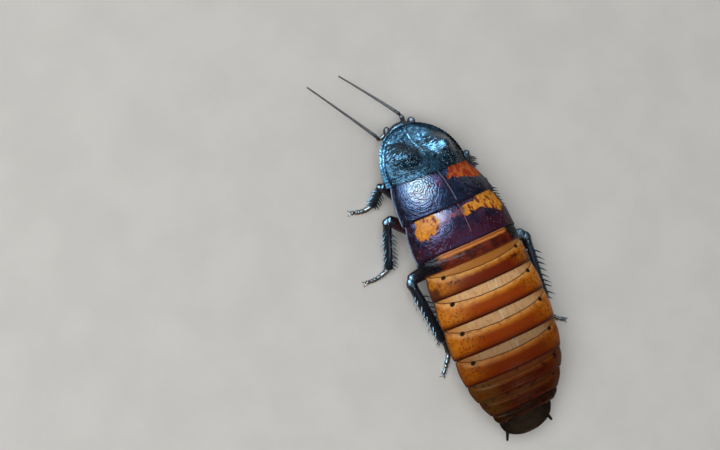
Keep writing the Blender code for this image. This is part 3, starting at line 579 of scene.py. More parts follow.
def tergite_finish(colours, number):
    """An abdominal plate: straw front band, thin dark line, amber behind it, spots and a dark rear edge."""
    finish = Finish(f"abdomen_plate_{number}", 0.0, (1.0, 0.72, 0.42, 1.0), 0.05 if number < 6 else 0.04)
    across, out, along = finish.chart()
    cloud = finish.noise(0.45)
    wobble = finish.noise(0.5) * 0.05 - 0.025
    line = out * out * -0.35 + 0.41 + wobble
    after = along - line
    tone = PLATE_TONES_AND_SHADE[number]

    def shade(red, green, blue, loss=1.0):
        return red * tone, green * tone ** (1 + 0.3 * loss), blue * tone ** (1 + 0.5 * loss)

    cream = (0.36, 0.13, 0.024) if number == 2 else shade(*colours.straw, 0.0)
    if number > 5:
        cream = shade(0.5, 0.2, 0.06)
    side_cream = shade(0.5, 0.2, 0.035)
    front = finish.mix(out.ease(0.38, 0.75), cream, side_cream)
    streaks = finish.noise(1.0, finish.stretched(4.5, 0.3, 1.0), 1.0).ease(0.45, 0.65)
    streaks = streaks * out.ease(0.1, 0.02) * (0.55 if number in (3, 4, 5) else 0.0)
    front = finish.mix(streaks, front, shade(0.78, 0.72, 0.55, 0.0))
    veins = finish.noise(1.3, finish.stretched(1.6, 0.5, 1.0), 3.0)
    front = finish.mix(veins.ease(0.45, 0.75) * 0.5, front, tuple(c * 0.62 for c in side_cream))
    deep = shade(0.15, 0.013, 0.002) if number == 2 else shade(0.26, 0.036, 0.001)
    # Painted shade: the front edge is darkened where it tucks under the plate in front.
    front = finish.mix(along.ease(0.12, 0.02), front, tuple(c * 0.4 for c in deep))
    share = after / (1.0 - line)
    rear = finish.mix(share.ease(0.02, 0.26), shade(0.68, 0.31, 0.08), shade(*colours.amber))
    middle = share.ease(0.1, 0.42) * out.ease(0.7, 0.25)
    rear = finish.mix(middle, rear, deep)
    rear = finish.mix(finish.noise(0.8, None, 4.0).ease(0.45, 0.68) * 0.5, rear, deep)
    rear = finish.mix(share.ease(0.5, 1.0) * 0.5, rear, tuple(c * 0.6 for c in deep))
    dotted = out.ease(0.15, 0.34) * share.ease(0.12, 0.3) * share.ease(0.93, 0.8)
    blots = finish.noise(1.5, None, 3.0).ease(0.5, 0.6)
    rear = finish.mix(blots * dotted * 0.45, rear, tuple(c * 1.5 for c in deep))
    dots = finish.cells(1.6).ease(0.36, 0.22) * finish.noise(0.6).ease(0.36, 0.46)
    base = finish.mix(after.ease(-0.004, 0.012), front, rear)
    base = finish.mix(dots * dotted * 0.85, base, (0.085, 0.022, 0.004))
    hem = along + wobble * 0.8
    base = finish.mix(hem.ease(0.82, 0.92) * 0.7, base, (0.11, 0.014, 0.002))
    base = finish.mix(hem.ease(0.91, 0.96) * 0.9, base, (0.04, 0.005, 0.002))
    thin = finish.number("ABSOLUTE", after).ease(0.02, 0.006)
    base = finish.mix(thin * 0.9, base, (0.035, 0.012, 0.003))
    spot_place = finish.reach(out, along + wobble * 0.8, (0.58, 0.33), (0.048, 0.075))
    spots = spot_place.ease(1.05, 0.7)
    base = finish.mix(spots, base, (0.008, 0.002, 0.001))
    if number == 2:
        stain = finish.reach(out + wobble, along, (0.44, 0.58), (0.1, 0.08))
        stain = stain.ease(1.2, 0.6) * finish.noise(1.6, None, 3.0).ease(0.42, 0.52)
        base = finish.mix(stain * 0.9, base, (0.045, 0.006, 0.003))
        corner = out.ease(0.62, 0.76) * along.ease(0.5, 0.66)
        base = finish.mix(corner * 0.8, base, (0.04, 0.008, 0.006))
    if number > 5:
        # Painted light: the left side of the last three plates is painted lighter, where the light falls.
        glow = across.ease(0.2, 0.6) * cloud.ease(0.25, 0.55)
        base = finish.mix(glow * 0.6, base, PAINTED_GLOW_COLOURS[number])
        grey = across.ease(-0.45, -0.8) * 0.4
        base = finish.mix(grey, base, (0.06, 0.036, 0.022))
        soot = finish.noise(0.8, None, 4.0).ease(SOOT_STARTS[number], 0.66)
        base = finish.mix(soot * 0.85, base, (0.006, 0.003, 0.003))
    margin = finish.noise(1.1, None, 3.0) * 0.1 + out
    base = finish.mix(margin.ease(0.93, 1.02) * 0.75, base, (0.07, 0.014, 0.003))
    base = finish.mix(out.ease(0.95, 0.99), base, (0.025, 0.006, 0.003))
    wrinkles = finish.noise(2.2, finish.stretched(0.35, 1.5, 0.35), 3.0)
    height = finish.pits(1.7, 0.3) * 0.5 + wrinkles * 0.7
    height = thin * -0.8 + height
    rough = cloud * 0.2 + 0.22
    rough = spots * 0.6 + rough
    return finish.wear(base, rough, height, 0.08)


def first_tergite_finish():
    """Maroon first plate with a golden front fold and black sides."""
    finish = Finish("abdomen_plate_1", 0.0, (1.0, 0.8, 0.7, 1.0), 0.05)
    _, out, along = finish.chart()
    cloud = finish.noise(0.6)
    base = finish.mix(cloud.ease(0.35, 0.7), (0.05, 0.006, 0.003), (0.14, 0.016, 0.004))
    wave = finish.noise(0.5) * 0.1 - 0.05
    high = along + wave
    fold = high.ease(0.03, 0.1) * high.ease(0.48, 0.36) * out.ease(0.58, 0.42)
    base = finish.mix(fold * 0.95, base, (0.6, 0.22, 0.05))
    groove = finish.number("ABSOLUTE", high - 0.27).ease(0.05, 0.01) * fold
    base = finish.mix(groove, base, (0.3, 0.07, 0.015))
    side = (out + wave).ease(0.47, 0.57)
    base = finish.mix(side, base, (0.004, 0.004, 0.007))
    base = finish.mix(along.ease(0.9, 0.98), base, (0.14, 0.03, 0.01))
    height = finish.noise(1.6, finish.stretched(0.5, 1.4, 1.0), 3.0) * 1.4 + finish.pits(1.6, 0.4)
    return finish.wear(base, cloud * 0.14 + 0.13, height, 0.1)


def tail_finish():
    """Near-black last plate, browner towards its end."""
    finish = Finish("dark_tail_plate", 0.0, (1.0, 0.72, 0.42, 1.0), 0.05)
    along = finish.chart()[2]
    cloud = finish.noise(0.7)
    base = finish.mix(cloud.ease(0.4, 0.7), (0.005, 0.003, 0.0025), (0.016, 0.008, 0.004))
    base = finish.mix(along.ease(0.85, 0.97) * 0.5, base, (0.04, 0.018, 0.008))
    height = finish.noise(2.4) * 1.0 + finish.pits(2.0, 0.4)
    return finish.wear(base, cloud * 0.2 + 0.3, height, 0.05)


def belly_finish(colours):
    """Polished red-brown underside with paler clouds and dark freckles."""
    finish = Finish("red_brown_underside", coat=0.35)
    cloud = finish.noise(0.35)
    base = finish.mix(cloud.ease(0.35, 0.7), tuple(colours.belly), (0.24, 0.085, 0.025))
    freckle = finish.cells(1.2).ease(0.22, 0.12) * 0.6
    base = finish.mix(freckle, base, (0.03, 0.01, 0.006))
    height = finish.noise(2.0, finish.stretched(0.5, 1.5, 0.6), 3.0)
    return finish.wear(base, cloud * 0.2 + 0.24, height, 0.06)


def membrane_finish():
    """Soft, wrinkled skin between the plates."""
    finish = Finish("brown_membrane", coat=0.0)
    folds = finish.noise(1.4, finish.stretched(0.6, 2.4, 1.2), 4.0)
    base = finish.mix(folds.ease(0.35, 0.7), (0.03, 0.012, 0.007), (0.14, 0.05, 0.02))
    return finish.wear(base, folds * 0.2 + 0.4, folds, 0.2)


def limb_finish(colours, name, tint, amount):
    """Black polished limb with fine lengthwise grain and redder clouds."""
    finish = Finish(name, coat=0.15, specular_tint=(0.55, 0.82, 1.0, 1.0))
    cloud = finish.noise(0.4)
    base = finish.mix(cloud.ease(0.35, 0.7) * amount, tuple(colours.leg), tint)
    grain = finish.noise(3.0, finish.stretched(1.6, 0.6, 1.0), 3.0)
    height = finish.pits(2.2, 0.35) * 0.5 + grain
    return finish.wear(base, grain * 0.2 + 0.14, height, 0.06)


def spotted_finish(name, light, dark, scale, rough, depth):
    """A small part's finish: two close colours in soft mottling over a fine grain."""
    finish = Finish(name, coat=0.2)
    cloud = finish.noise(scale, None, 3.0)
    base = finish.mix(cloud.ease(0.35, 0.65), dark, light)
    return finish.wear(base, cloud * 0.2 + rough, finish.noise(scale * 4), depth)


def eye_finish():
    """Dark eye with a close net of facets."""
    finish = Finish("faceted_eye", coat=0.1, specular_tint=(0.75, 0.88, 1.0, 1.0), polish=0.4)
    facets = finish.cells(12.0, None, "DISTANCE_TO_EDGE")
    cloud = finish.noise(1.2)
    base = finish.mix(cloud.ease(0.35, 0.7), (0.012, 0.008, 0.008), (0.05, 0.02, 0.014))
    net = facets.ease(0.0, 0.12)
    base = finish.mix(net, (0.03, 0.016, 0.012), base)
    return finish.wear(base, cloud * 0.08 + 0.14, net, 0.01)


def head_finish():
    """Black-brown capsule with a redder face and fine wrinkles."""
    finish = Finish("head_capsule", coat=0.25, specular_tint=(0.6, 0.84, 1.0, 1.0))
    height_now = finish.add("SeparateXYZ", {0: finish.place}, 2)
    cloud = finish.noise(0.8)
    base = finish.mix(cloud.ease(0.35, 0.7), (0.006, 0.006, 0.008), (0.02, 0.008, 0.006))
    base = finish.mix(height_now.ease(2.4, 1.0) * 0.5, base, (0.12, 0.04, 0.012))
    grain = finish.noise(4.0, None, 4.0)
    relief = finish.pits(3.0, 0.3) * 0.5 + grain
    return finish.wear(base, cloud * 0.15 + 0.17, relief, 0.05)


# Settings that a user would change

class CockroachShell(bpy.types.PropertyGroup):
    horn_height: bpy.props.FloatProperty(
        name="Horn height", description="Height of the shield's two horns in millimetres",
        default=2.7, min=0.5, max=4.0,
    )
    rim_roll: bpy.props.FloatProperty(
        name="Rim roll", description="How far the shield's rim is rolled up in millimetres",
        default=0.34, min=0.0, max=0.8,
    )
    plate_overlap: bpy.props.FloatProperty(
        name="Plate overlap", description="How far a plate tucks under the one in front in millimetres",
        default=0.7, min=0.2, max=1.5,
    )


class CockroachLimbs(bpy.types.PropertyGroup):
    shin_radius: bpy.props.FloatProperty(
        name="Shin radius", description="Radius of the middle leg's shin in millimetres",
        default=0.97, min=0.4, max=1.2,
    )
    spine_radius: bpy.props.FloatProperty(
        name="Spine radius", description="Radius of a shin spine at its root in millimetres",
        default=0.2, min=0.08, max=0.3,
    )
    feeler_rings: bpy.props.IntProperty(
        name="Feeler rings", description="Number of rings in each feeler's whip", default=46, min=12, max=90
    )


class CockroachColours(bpy.types.PropertyGroup):
    shell: bpy.props.FloatVectorProperty(
        name="Shell", description="Colour of the shield", subtype="COLOR", size=3,
        default=(0.003, 0.006, 0.011),
    )
    straw: bpy.props.FloatVectorProperty(
        name="Straw band", description="Front band of the abdomen's plates", subtype="COLOR", size=3,
        default=(0.62, 0.36, 0.17),
    )
    amber: bpy.props.FloatVectorProperty(
        name="Amber", description="Rear part of the abdomen's plates", subtype="COLOR", size=3,
        default=(0.56, 0.19, 0.01),
    )
    belly: bpy.props.FloatVectorProperty(
        name="Belly", description="Colour of the underside", subtype="COLOR", size=3,
        default=(0.1, 0.03, 0.012),
    )
    leg: bpy.props.FloatVectorProperty(
        name="Leg", description="Colour of the legs", subtype="COLOR", size=3,
        default=(0.008, 0.008, 0.01),
    )


class CockroachStage(bpy.types.PropertyGroup):
    floor: bpy.props.FloatVectorProperty(
        name="Floor", description="Colour of the floor", subtype="COLOR", size=3,
        default=(0.66, 0.65, 0.63),
    )
    brightness: bpy.props.FloatProperty(
        name="Brightness", description="Strength of all the lights",
        subtype="FACTOR", default=1.0, min=0.1, max=4.0,
    )


# Shell

def shield_edge(u, v):
    """Height share over the shield's rim: 0 on its outline and 1 at the middle."""
    ahead = max(1 - v / SHIELD_FRONT_RUN, 0.0)
    level = abs(u / SHIELD_HALF_WIDTH) ** SHIELD_ROUNDNESS + ahead ** SHIELD_ROUNDNESS
    return math.sqrt(max(1 - level ** (2 / SHIELD_ROUNDNESS), 0.0))


def shield_half_width(v):
    ahead = max(1 - v / SHIELD_FRONT_RUN, 0.0)
    return SHIELD_HALF_WIDTH * (1 - ahead ** SHIELD_ROUNDNESS) ** (1 / SHIELD_ROUNDNESS)


def shield_height(u, v, half, horn_height):
    """Height of the shield u from its middle line and v behind its front rim."""
    at, _ = section(max(v, 0.0))
    rim = station("front")[MARGIN] + (at[MARGIN] - station("front")[MARGIN]) * min(v / 6.0, 1.0)
    height = rim + (at[BACK] - rim) * (1 - min(abs(u) / half, 1.0) ** 2) ** 0.6
    for side in (-1, 1):
        away = math.hypot(u - side * HORN_SIDE, v - HORN_BACK) / HORN_RADIUS
        height += horn_height * math.exp(-away ** 2.4)
    return height - 0.9 * math.exp(-((u / 3.6) ** 2 + ((v - 3.4) / 2.0) ** 2))


class ShieldOperator(bpy.types.Operator):
    """Make the horned shield over the head"""

    bl_idname = "cockroach.shield"
    bl_label = "Shield"

    def execute(self, context):
        shell = context.scene.cockroach_shell
        middle = Vector((measure(BEND, SHIELD_PIVOT), SHIELD_PIVOT, 0.0))
        spin = Matrix.Translation(middle) @ Matrix.Rotation(SHIELD_TURN, 4, "Z") @ Matrix.Translation(-middle)
        spin = section(SHIELD_PIVOT)[1] @ spin
        end = SHIELD_LENGTH - SHIELD_INSET

        def surface(s, v, horn_height):
            half = shield_half_width(v)
            u = half * math.sin(s * math.pi / 2)
            return Vector((section(v)[0][BEND] + u, v, shield_height(u, v, half, horn_height))), u

        def top(s, share):
            v = SHIELD_INSET + (end - SHIELD_INSET) * share ** ROW_CROWDING
            point, u = surface(s, v, shell.horn_height)
            step = 0.01
            near = [surface(s + move, v, shell.horn_height)[0] for move in (-step, step)]
            far = [surface(s, place, shell.horn_height)[0] for place in (max(v - step, 0.02), v + step)]
            across, along = near[1] - near[0], far[1] - far[0]
            normal = across.cross(along).normalized()
            edge = shield_edge(u, v)
            relief = shell.rim_roll * bell(edge, 0.11, 0.09) - 0.22 * bell(edge, 0.27, 0.07)
            relief += 0.05 * math.sin(v * 11.0 + 3 * s) * bell(edge, 0.12, 0.08) * ease(v, 1.5, 3.5)
            relief += 0.1 * bell(u, 0.12, 0.13) * ease(v, 0.6, 1.4) * ease(7.3 - v, 0.0, 0.8)
            relief -= 0.12 * bell(v, end - 0.9, 0.25)
            inside = ease(edge, 0.25, 0.45)
            relief += 0.07 * inside * noise.noise(Vector((u * 0.75, v * 1.2, 3.0)))
            for side in (-1, 1):
                away = math.hypot(u - side * HORN_SIDE, v - HORN_BACK)
                front = ease(HORN_BACK + 0.8 - v, 0.0, 1.5) * inside
                wave = math.sin(away * 5.2 + 2 * noise.noise(Vector((u, v, 0.0))))
                relief += 0.045 * wave * bell(away, 2.7, 1.0) * front
            return spin @ (point + normal * relief)

        def under(s, share):
            v = SHIELD_INSET + (end - SHIELD_INSET) * share ** ROW_CROWDING
            point, u = surface(s, v, 0.0)
            inner = 1 - 0.03 * min(v, 3) / 3
            point.x = section(v)[0][BEND] + u * inner
            point.z -= 0.5 + 0.8 * (1 - math.sin(abs(s) * math.pi / 2) ** 2) * min(v / 3, 1)
            return spin @ point

        bm = bmesh.new()
        lay_plate(bm, 150, 120, top, under)
        finish = shell_finish(context.scene.cockroach_colours)
        add_piece("Shield", bm, finish, ["pronotum"])
        return {"FINISHED"}


def notum_rise(share):
    """How far a thorax plate rises over the body's line, along the plate."""
    steps = ((-0.1, -0.9), (0.0, -0.5), (0.3, 0.02), (0.65, 0.12), (0.95, 0.06), (1.0, -0.15))
    return interpolate(steps, share)


def thorax_skin(name, s, share, lower):
    """A point on the thorax under its plates: a rounded body with folded sides."""
    start, end, depth = THORAX_RUNS[name]
    y = start + (end - start) * share
    at, lean = section(y)
    across = min(at[WIDTH] - 2.5, 2.4 + 0.9 * y)
    top = at[BACK] - depth - 0.3 * max(6.0 - y, 0.0)
    side, keel = at[MARGIN] - 0.9, at[BELLY] - 0.3
    arch = max(math.cos(s * math.pi / 2), 0.0)
    if lower:
        lift = -0.05 - (side - keel) * arch ** 0.8 + 0.1 * bell(s, 0.0, 0.05)
        lift += 0.12 * bell(share, 0.35 + 0.25 * abs(s), 0.05) + 0.1 * bell(share, 0.8 - 0.2 * abs(s), 0.04)
    else:
        lift = 0.05 + max(top - side, 0.3) * arch ** 1.1
    fold = 0.03 * math.sin(y * 7 + 2 * s) * ease(abs(s), 0.35, 0.7)
    shrink = 1 - 0.17 * abs(2 * share - 1) ** 7 + fold
    centre = Vector((at[BEND], y, (side + keel) / 2))
    point = Vector((at[BEND] + across * math.sin(s * math.pi / 2), y, side + lift))
    return lean @ (centre + (point - centre) * shrink)


class ThoraxOperator(bpy.types.Operator):
    """Make the two thorax plates behind the shield and the thorax below"""

    bl_idname = "cockroach.thorax"
    bl_label = "Thorax"

    def execute(self, context):
        colours = context.scene.cockroach_colours
        overlap = context.scene.cockroach_shell.plate_overlap
        for name, before in (("mesonotum", "pronotum"), ("metanotum", "mesonotum")):
            y0, y1 = station(before)[1], station(name)[1]
            tuck = -overlap / (y1 - y0)

            def laid(s, share, lower, name=name, before=before, y0=y0, y1=y1, tuck=tuck):
                place = tuck + (1.0 - tuck) * share
                y = y0 + (y1 - y0) * place
                waver = noise.noise(Vector((s * 7.0, y * 0.6, 5.0)))
                rise = notum_rise(place) + 0.07 * waver * ease(place, 0.0, 0.2)
                rise += 0.16 * bell(abs(s), 0.94, 0.035) - 0.1 * bell(abs(s), 0.85, 0.04)
                if lower:
                    rise -= 0.35
                point = back_point(y, s, rise)
                if lower:
                    point.z -= 0.1 + 0.35 * (1 - s * s)
                back = CORNER_SWEEP.get(before, 0.0) * (1 - place) + CORNER_SWEEP[name] * place
                point.y += back * abs(s) ** 5
                if before == "pronotum":
                    point.y += math.tan(SHIELD_TURN) * point.x * (1 - place)
                return point

            bm = bmesh.new()
            lay_plate(bm, 120, 56, lambda s, v: laid(s, v, False), lambda s, v: laid(s, v, True))
            finish = thorax_finish(colours, name == "metanotum")
            add_piece(name.capitalize(), bm, finish, [name])
        belly = belly_finish(colours)
        for name in THORAX_RUNS:
            bm = bmesh.new()
            lay_plate(
                bm, 80, 64,
                lambda s, v: thorax_skin(name, s, v, False),
                lambda s, v: thorax_skin(name, s, v, True),
            )
            add_piece(f"{name.capitalize()}_skin", bm, belly, [name])
        return {"FINISHED"}


class AbdomenOperator(bpy.types.Operator):
    """Make the abdomen's upper and lower plates and the skin between them"""

    bl_idname = "cockroach.abdomen"
    bl_label = "Abdomen"

    def execute(self, context):
        colours = context.scene.cockroach_colours
        overlap = context.scene.cockroach_shell.plate_overlap
        belly = belly_finish(colours)
        for number in range(1, 9):
            before = "metanotum" if number == 1 else f"abdomen_{number - 1}"
            name = f"abdomen_{number}"
            y0, y1 = station(before)[1], station(name)[1]
            tuck = -overlap / (y1 - y0)

            def laid(s, share, lower, number=number, before=before, y0=y0, y1=y1, tuck=tuck):
                place = tuck + (1.0 - tuck) * share
                line = 0.41 - 0.42 * s * s
                rise = -0.95 + 0.5 * ease(place, tuck, 0.05) + 0.12 * ease(place, 0.0, 0.2)
                rise += 0.27 * ease(place, line - 0.03, line + 0.16)
                flush = -0.75 + 0.62 * ease(place, tuck * 0.4, 0.07) + 0.16 * ease(place, 0.05, 0.5)
                rise += (flush - rise) * ease(abs(s), 0.6, 0.9)
                rise += 0.12 * math.sin(math.pi * min(max((place - line) / (1 - line), 0.0), 1.0))
                rise -= 0.16 * ease(place, 0.95, 1.0)
                point = back_point(y0 + (y1 - y0) * place, s, rise - (0.3 if lower else 0.0))
                if lower:
                    point.z -= 0.12
                if number == 1:
                    point.y += CORNER_SWEEP["metanotum"] * (1 - place) * abs(s) ** 5
                return point

            bm = bmesh.new()
            rows = 64 if y1 - y0 > 4 else 44
            lay_plate(bm, 120, rows, lambda s, v: laid(s, v, False), lambda s, v: laid(s, v, True))
            finish = first_tergite_finish() if number == 1 else tergite_finish(colours, number)
            add_piece(f"Back_plate_{number}", bm, finish, [name])

            def below(s, share, inner, y0=y0, y1=y1):
                place = -0.12 + 1.12 * share
                rise = -0.3 + 0.32 * ease(place, -0.1, 0.3) + 0.1 * ease(place, 0.3, 0.9)
                return belly_point(y0 + (y1 - y0) * place, s, rise - (0.35 if inner else 0.0))

            if number > 1:
                bm = bmesh.new()
                lay_plate(bm, 48, 16, lambda s, v: below(s, v, True), lambda s, v: below(s, v, False))
                add_piece(f"Belly_plate_{number}", bm, belly, [name])

        start, end = station("metanotum")[1] - 0.2, station("abdomen_8")[1] + 0.3
        bm = bmesh.new()
        lay_plate(
            bm, 40, 60,
            lambda s, v: back_point(start + (end - start) * v, s, -1.15),
            lambda s, v: belly_point(start + (end - start) * v, s, -0.35),
        )
        add_piece("Abdomen_skin", bm, membrane_finish(), ["abdomen_1"])
        return {"FINISHED"}


class TailOperator(bpy.types.Operator):
    """Make the last plates and the two short tail feelers"""

    bl_idname = "cockroach.tail"
    bl_label = "Tail"

    def execute(self, context):
        start, end = station("abdomen_8"), station("tail")
        y0, y1 = start[1] - 0.5, end[1] - 0.05
        dark = tail_finish()

        def laid(s, share, upper, inner):
            round_off = math.sqrt(max(1 - share ** 2.6, 0.0))
            half = (start[WIDTH] - 0.35) * max(round_off, 0.05)
            x = start[BEND] + (end[BEND] - start[BEND]) * share + half * math.sin(s * math.pi / 2)
            y = y0 + (y1 - y0) * share - 0.35 * bell(s, 0.0, 0.16) * ease(share, 0.8, 1.0)
            arch = max(math.cos(s * math.pi / 2), 0.0) ** 0.9
            if upper:
                crown = (start[BACK] - 0.5) + (end[BACK] - start[BACK] + 0.3) * share
                edge = 4.75 - 0.25 * share
                z = edge + (crown - edge) * arch * (0.35 + 0.65 * round_off) - (0.35 if inner else 0.0)
            else:
                keel = start[BELLY] + 0.5 + 0.6 * share
                z = 4.35 - (4.35 - keel) * arch * (0.35 + 0.65 * round_off) + (0.35 if inner else 0.0)
            return Vector((x, y, z))

        for name, upper in (("Tail_plate", True), ("Tail_under_plate", False)):
            bm = bmesh.new()
            lay_plate(bm, 60, 40, lambda s, v: laid(s, v, upper, False), lambda s, v: laid(s, v, upper, True))
            add_piece(name, bm, dark, ["supra_anal_plate"])
        for side, sign in (("left", 1), ("right", -1)):
            root = Vector((start[BEND] + 0.1 + sign * 4.0, start[1] + 1.0, 3.75))
            tip = Vector((start[BEND] + 0.1 + sign * 5.3, start[1] + 4.3, 3.15))
            radii = [(0.0, 0.3)]
            for ring in range(9):
                wide = 0.56 - 0.035 * ring
                radii += [((ring + 0.5) / 9.3, wide), ((ring + 1) / 9.3, wide * 0.8)]
            radii.append((1.0, 0.08))
            bm = bmesh.new()
            sweep(bm, [root.lerp(tip, k / 40) for k in range(41)], radii, 14, 0.8)
            add_piece(f"Cercus_{side}", bm, dark, [f"cercus_{side}"])
        return {"FINISHED"}


# Head

def head_matrix():
    lean = Matrix.Rotation(math.radians(station("front")[LEAN]), 4, "Y")
    return Matrix.Translation(HEAD_CENTRE) @ lean @ Matrix.Rotation(HEAD_PITCH, 4, "X")


class HeadOperator(bpy.types.Operator):
    """Make the head capsule with its mouthparts and jaw feelers"""

    bl_idname = "cockroach.head"
    bl_label = "Head"

    def execute(self, context):
        matrix = head_matrix()
        turn = matrix.to_3x3().to_4x4()
        capsule = head_finish()
        horn = spotted_finish("amber_mouthparts", (0.3, 0.12, 0.035), (0.1, 0.03, 0.01), 1.6, 0.2, 0.04)
        bm = bmesh.new()
        for vert in lump(bm, Vector(), (1, 1, 1), None, 56, 40):
            x, y, z = vert.co
            narrow = 1 - 0.34 * max(-z, 0) ** 1.3
            face = -0.1 * bell(x, 0, 0.5) * bell(z, 0.1, 0.5) if y < 0 else 0.0
            groove = 0.05 * bell(abs(x), 0.35 + 0.3 * max(z, 0), 0.05)
            groove *= ease(-y, 0.3, 0.7) * ease(z, 0.0, 0.4)
            socket = 0.1 * bell(abs(x), 0.74, 0.13) * bell(z, 0.1, 0.17) * ease(-y, 0.0, 0.3)
            y = y + face * 0.5 + groove + socket
            vert.co = matrix @ Vector((x * HEAD_HALF.x * narrow, y * HEAD_HALF.y, z * HEAD_HALF.z))
        for side in FEELERS:
            lump(bm, Vector(FEELERS[side][0]).lerp(HEAD_CENTRE, 0.2), (0.66, 0.6, 0.66), None, 24, 16)
        add_piece("Head_capsule", bm, capsule, ["head"])
        bm = bmesh.new()
        for place, half in (
            ((0.0, -0.85, -1.5), (1.25, 0.55, 0.5)),
            ((0.0, -0.8, -2.15), (1.0, 0.42, 0.68)),
        ):
            lump(bm, matrix @ Vector(place), half, turn)
        for sign in (-1, 1):
            points = [(1.45, -0.1, -1.3), (1.55, -0.2, -1.9), (1.0, -0.3, -2.55), (0.25, -0.35, -2.75)]
            path = smooth_path([matrix @ Vector((sign * x, y, z)) for x, y, z in points], 12)
            sweep(bm, path, ((0, 0.45), (0.3, 0.55), (0.7, 0.4), (1, 0.1)), 12, 0.8)
            points = [(0.8, 0.6, -1.9), (1.0, 0.5, -2.5), (0.8, 0.1, -2.7)]
            path = smooth_path([matrix @ Vector((sign * x, y, z)) for x, y, z in points], 16)
            radii = ((0, 0.2), (0.25, 0.27), (0.33, 0.18), (0.55, 0.26), (0.65, 0.18), (0.9, 0.24), (1, 0.1))
            sweep(bm, path, radii, 10)
        add_piece("Mouthparts", bm, horn, ["head"])
        bm = bmesh.new()
        for sign in (-1, 1):
            base = matrix @ Vector((sign * 1.75, -1.22, 1.15))
            lump(bm, base, (0.24, 0.12, 0.2), turn, 16, 10)
        pale = spotted_finish("pale_window_spots", (0.62, 0.5, 0.3), (0.4, 0.28, 0.14), 2.0, 0.25, 0.02)
        add_piece("Window_spots", bm, pale, ["head"])
        skin = membrane_finish()
        bm = bmesh.new()
        neck = [matrix @ Vector((0, 0.7, 0.7)), Vector((1.5, 3.2, 4.6)), Vector((1.4, 4.6, 5.6))]
        folds = [(k / 10, 1.75 + (0.18 if k % 2 else -0.12)) for k in range(11)]
        sweep(bm, smooth_path(neck, 31), folds, 24, 0.8)
        add_piece("Neck_skin", bm, skin, ["head"])
        palp = limb_finish(context.scene.cockroach_colours, "jaw_feeler", (0.16, 0.05, 0.015), 0.8)
        for side, sign in (("left", 1), ("right", -1)):
            points = [(1.75, 0.75, -1.5), (2.3, 0.5, -2.3), (2.5, -0.7, -2.3), (2.2, -1.3, -2.0)]
            path = smooth_path([matrix @ Vector((sign * x, y, z)) for x, y, z in points], 46)
            radii = (
                (0, 0.18), (0.1, 0.24), (0.16, 0.15), (0.3, 0.25), (0.38, 0.15),
                (0.58, 0.27), (0.64, 0.15), (0.8, 0.3), (0.93, 0.32), (1, 0.14),
            )
            bm = bmesh.new()
            sweep(bm, path, radii, 12)
            add_piece(f"Jaw_feeler_{side}", bm, palp, [f"palp_{side}"])
        return {"FINISHED"}


class EyeOperator(bpy.types.Operator):
    """Make the two faceted eyes"""

    bl_idname = "cockroach.eyes"
    bl_label = "Eyes"

    def execute(self, context):
        matrix = head_matrix()
        finish = eye_finish()
        for side, sign in (("left", 1), ("right", -1)):
            centre = Vector((sign * EYE_PLACE.x, EYE_PLACE.y, EYE_PLACE.z))
            turn = matrix @ Matrix.Translation(centre) @ Matrix.Rotation(-sign * EYE_TURN, 4, "Z")
            bm = bmesh.new()
            for vert in lump(bm, Vector(), EYE_HALF, None, 48, 32):
                x, y, z = vert.co
                bean = 0.16 * bell(z, -0.35, 0.45) * ease(-y, 0.2, 0.9)
                vert.co = turn @ Vector((x * 1.04, y + bean, z))
            add_piece(f"Eye_{side}", bm, finish, [f"eye_{side}"])
        return {"FINISHED"}


class FeelerOperator(bpy.types.Operator):
    """Make the two ringed feelers"""

    bl_idname = "cockroach.feelers"
    bl_label = "Feelers"

    def execute(self, context):
        rings = context.scene.cockroach_limbs.feeler_rings
        finish = spotted_finish("ringed_feeler", (0.03, 0.014, 0.01), (0.008, 0.006, 0.006), 1.4, 0.28, 0.05)
        for side in FEELERS:
            radii = [(0.0, 0.3), (0.02, 0.44), (0.07, 0.52), (0.1, 0.46), (0.125, 0.27), (0.135, 0.27)]
            radii += [(0.15, 0.4), (0.175, 0.38), (0.19, 0.26)]
            for ring in range(rings):
                low = WHIP_START + WHIP_RUN * ring / rings
                wide = WHIP_ROOT + (WHIP_TIP - WHIP_ROOT) * ((ring + 0.5) / rings) ** 0.7
                radii += [(low + 0.3 * WHIP_RUN / rings, wide), (low + 0.97 * WHIP_RUN / rings, wide * 0.82)]
            radii.append((1.0, 0.06))
            bm = bmesh.new()
            root = Vector(FEELERS[side][0]).lerp(HEAD_CENTRE, 0.25)
            sweep(bm, smooth_path([root, *FEELERS[side][1:]], 60 + rings * 5), radii, 14)
            add_piece(f"Feeler_{side}", bm, finish, [f"antenna_{side}"])
        return {"FINISHED"}


# Legs

def press_on_floor(bm):
    """Flatten what would sink into the floor against it."""
    for vert in bm.verts:
        vert.co.z = max(vert.co.z, 0.0)


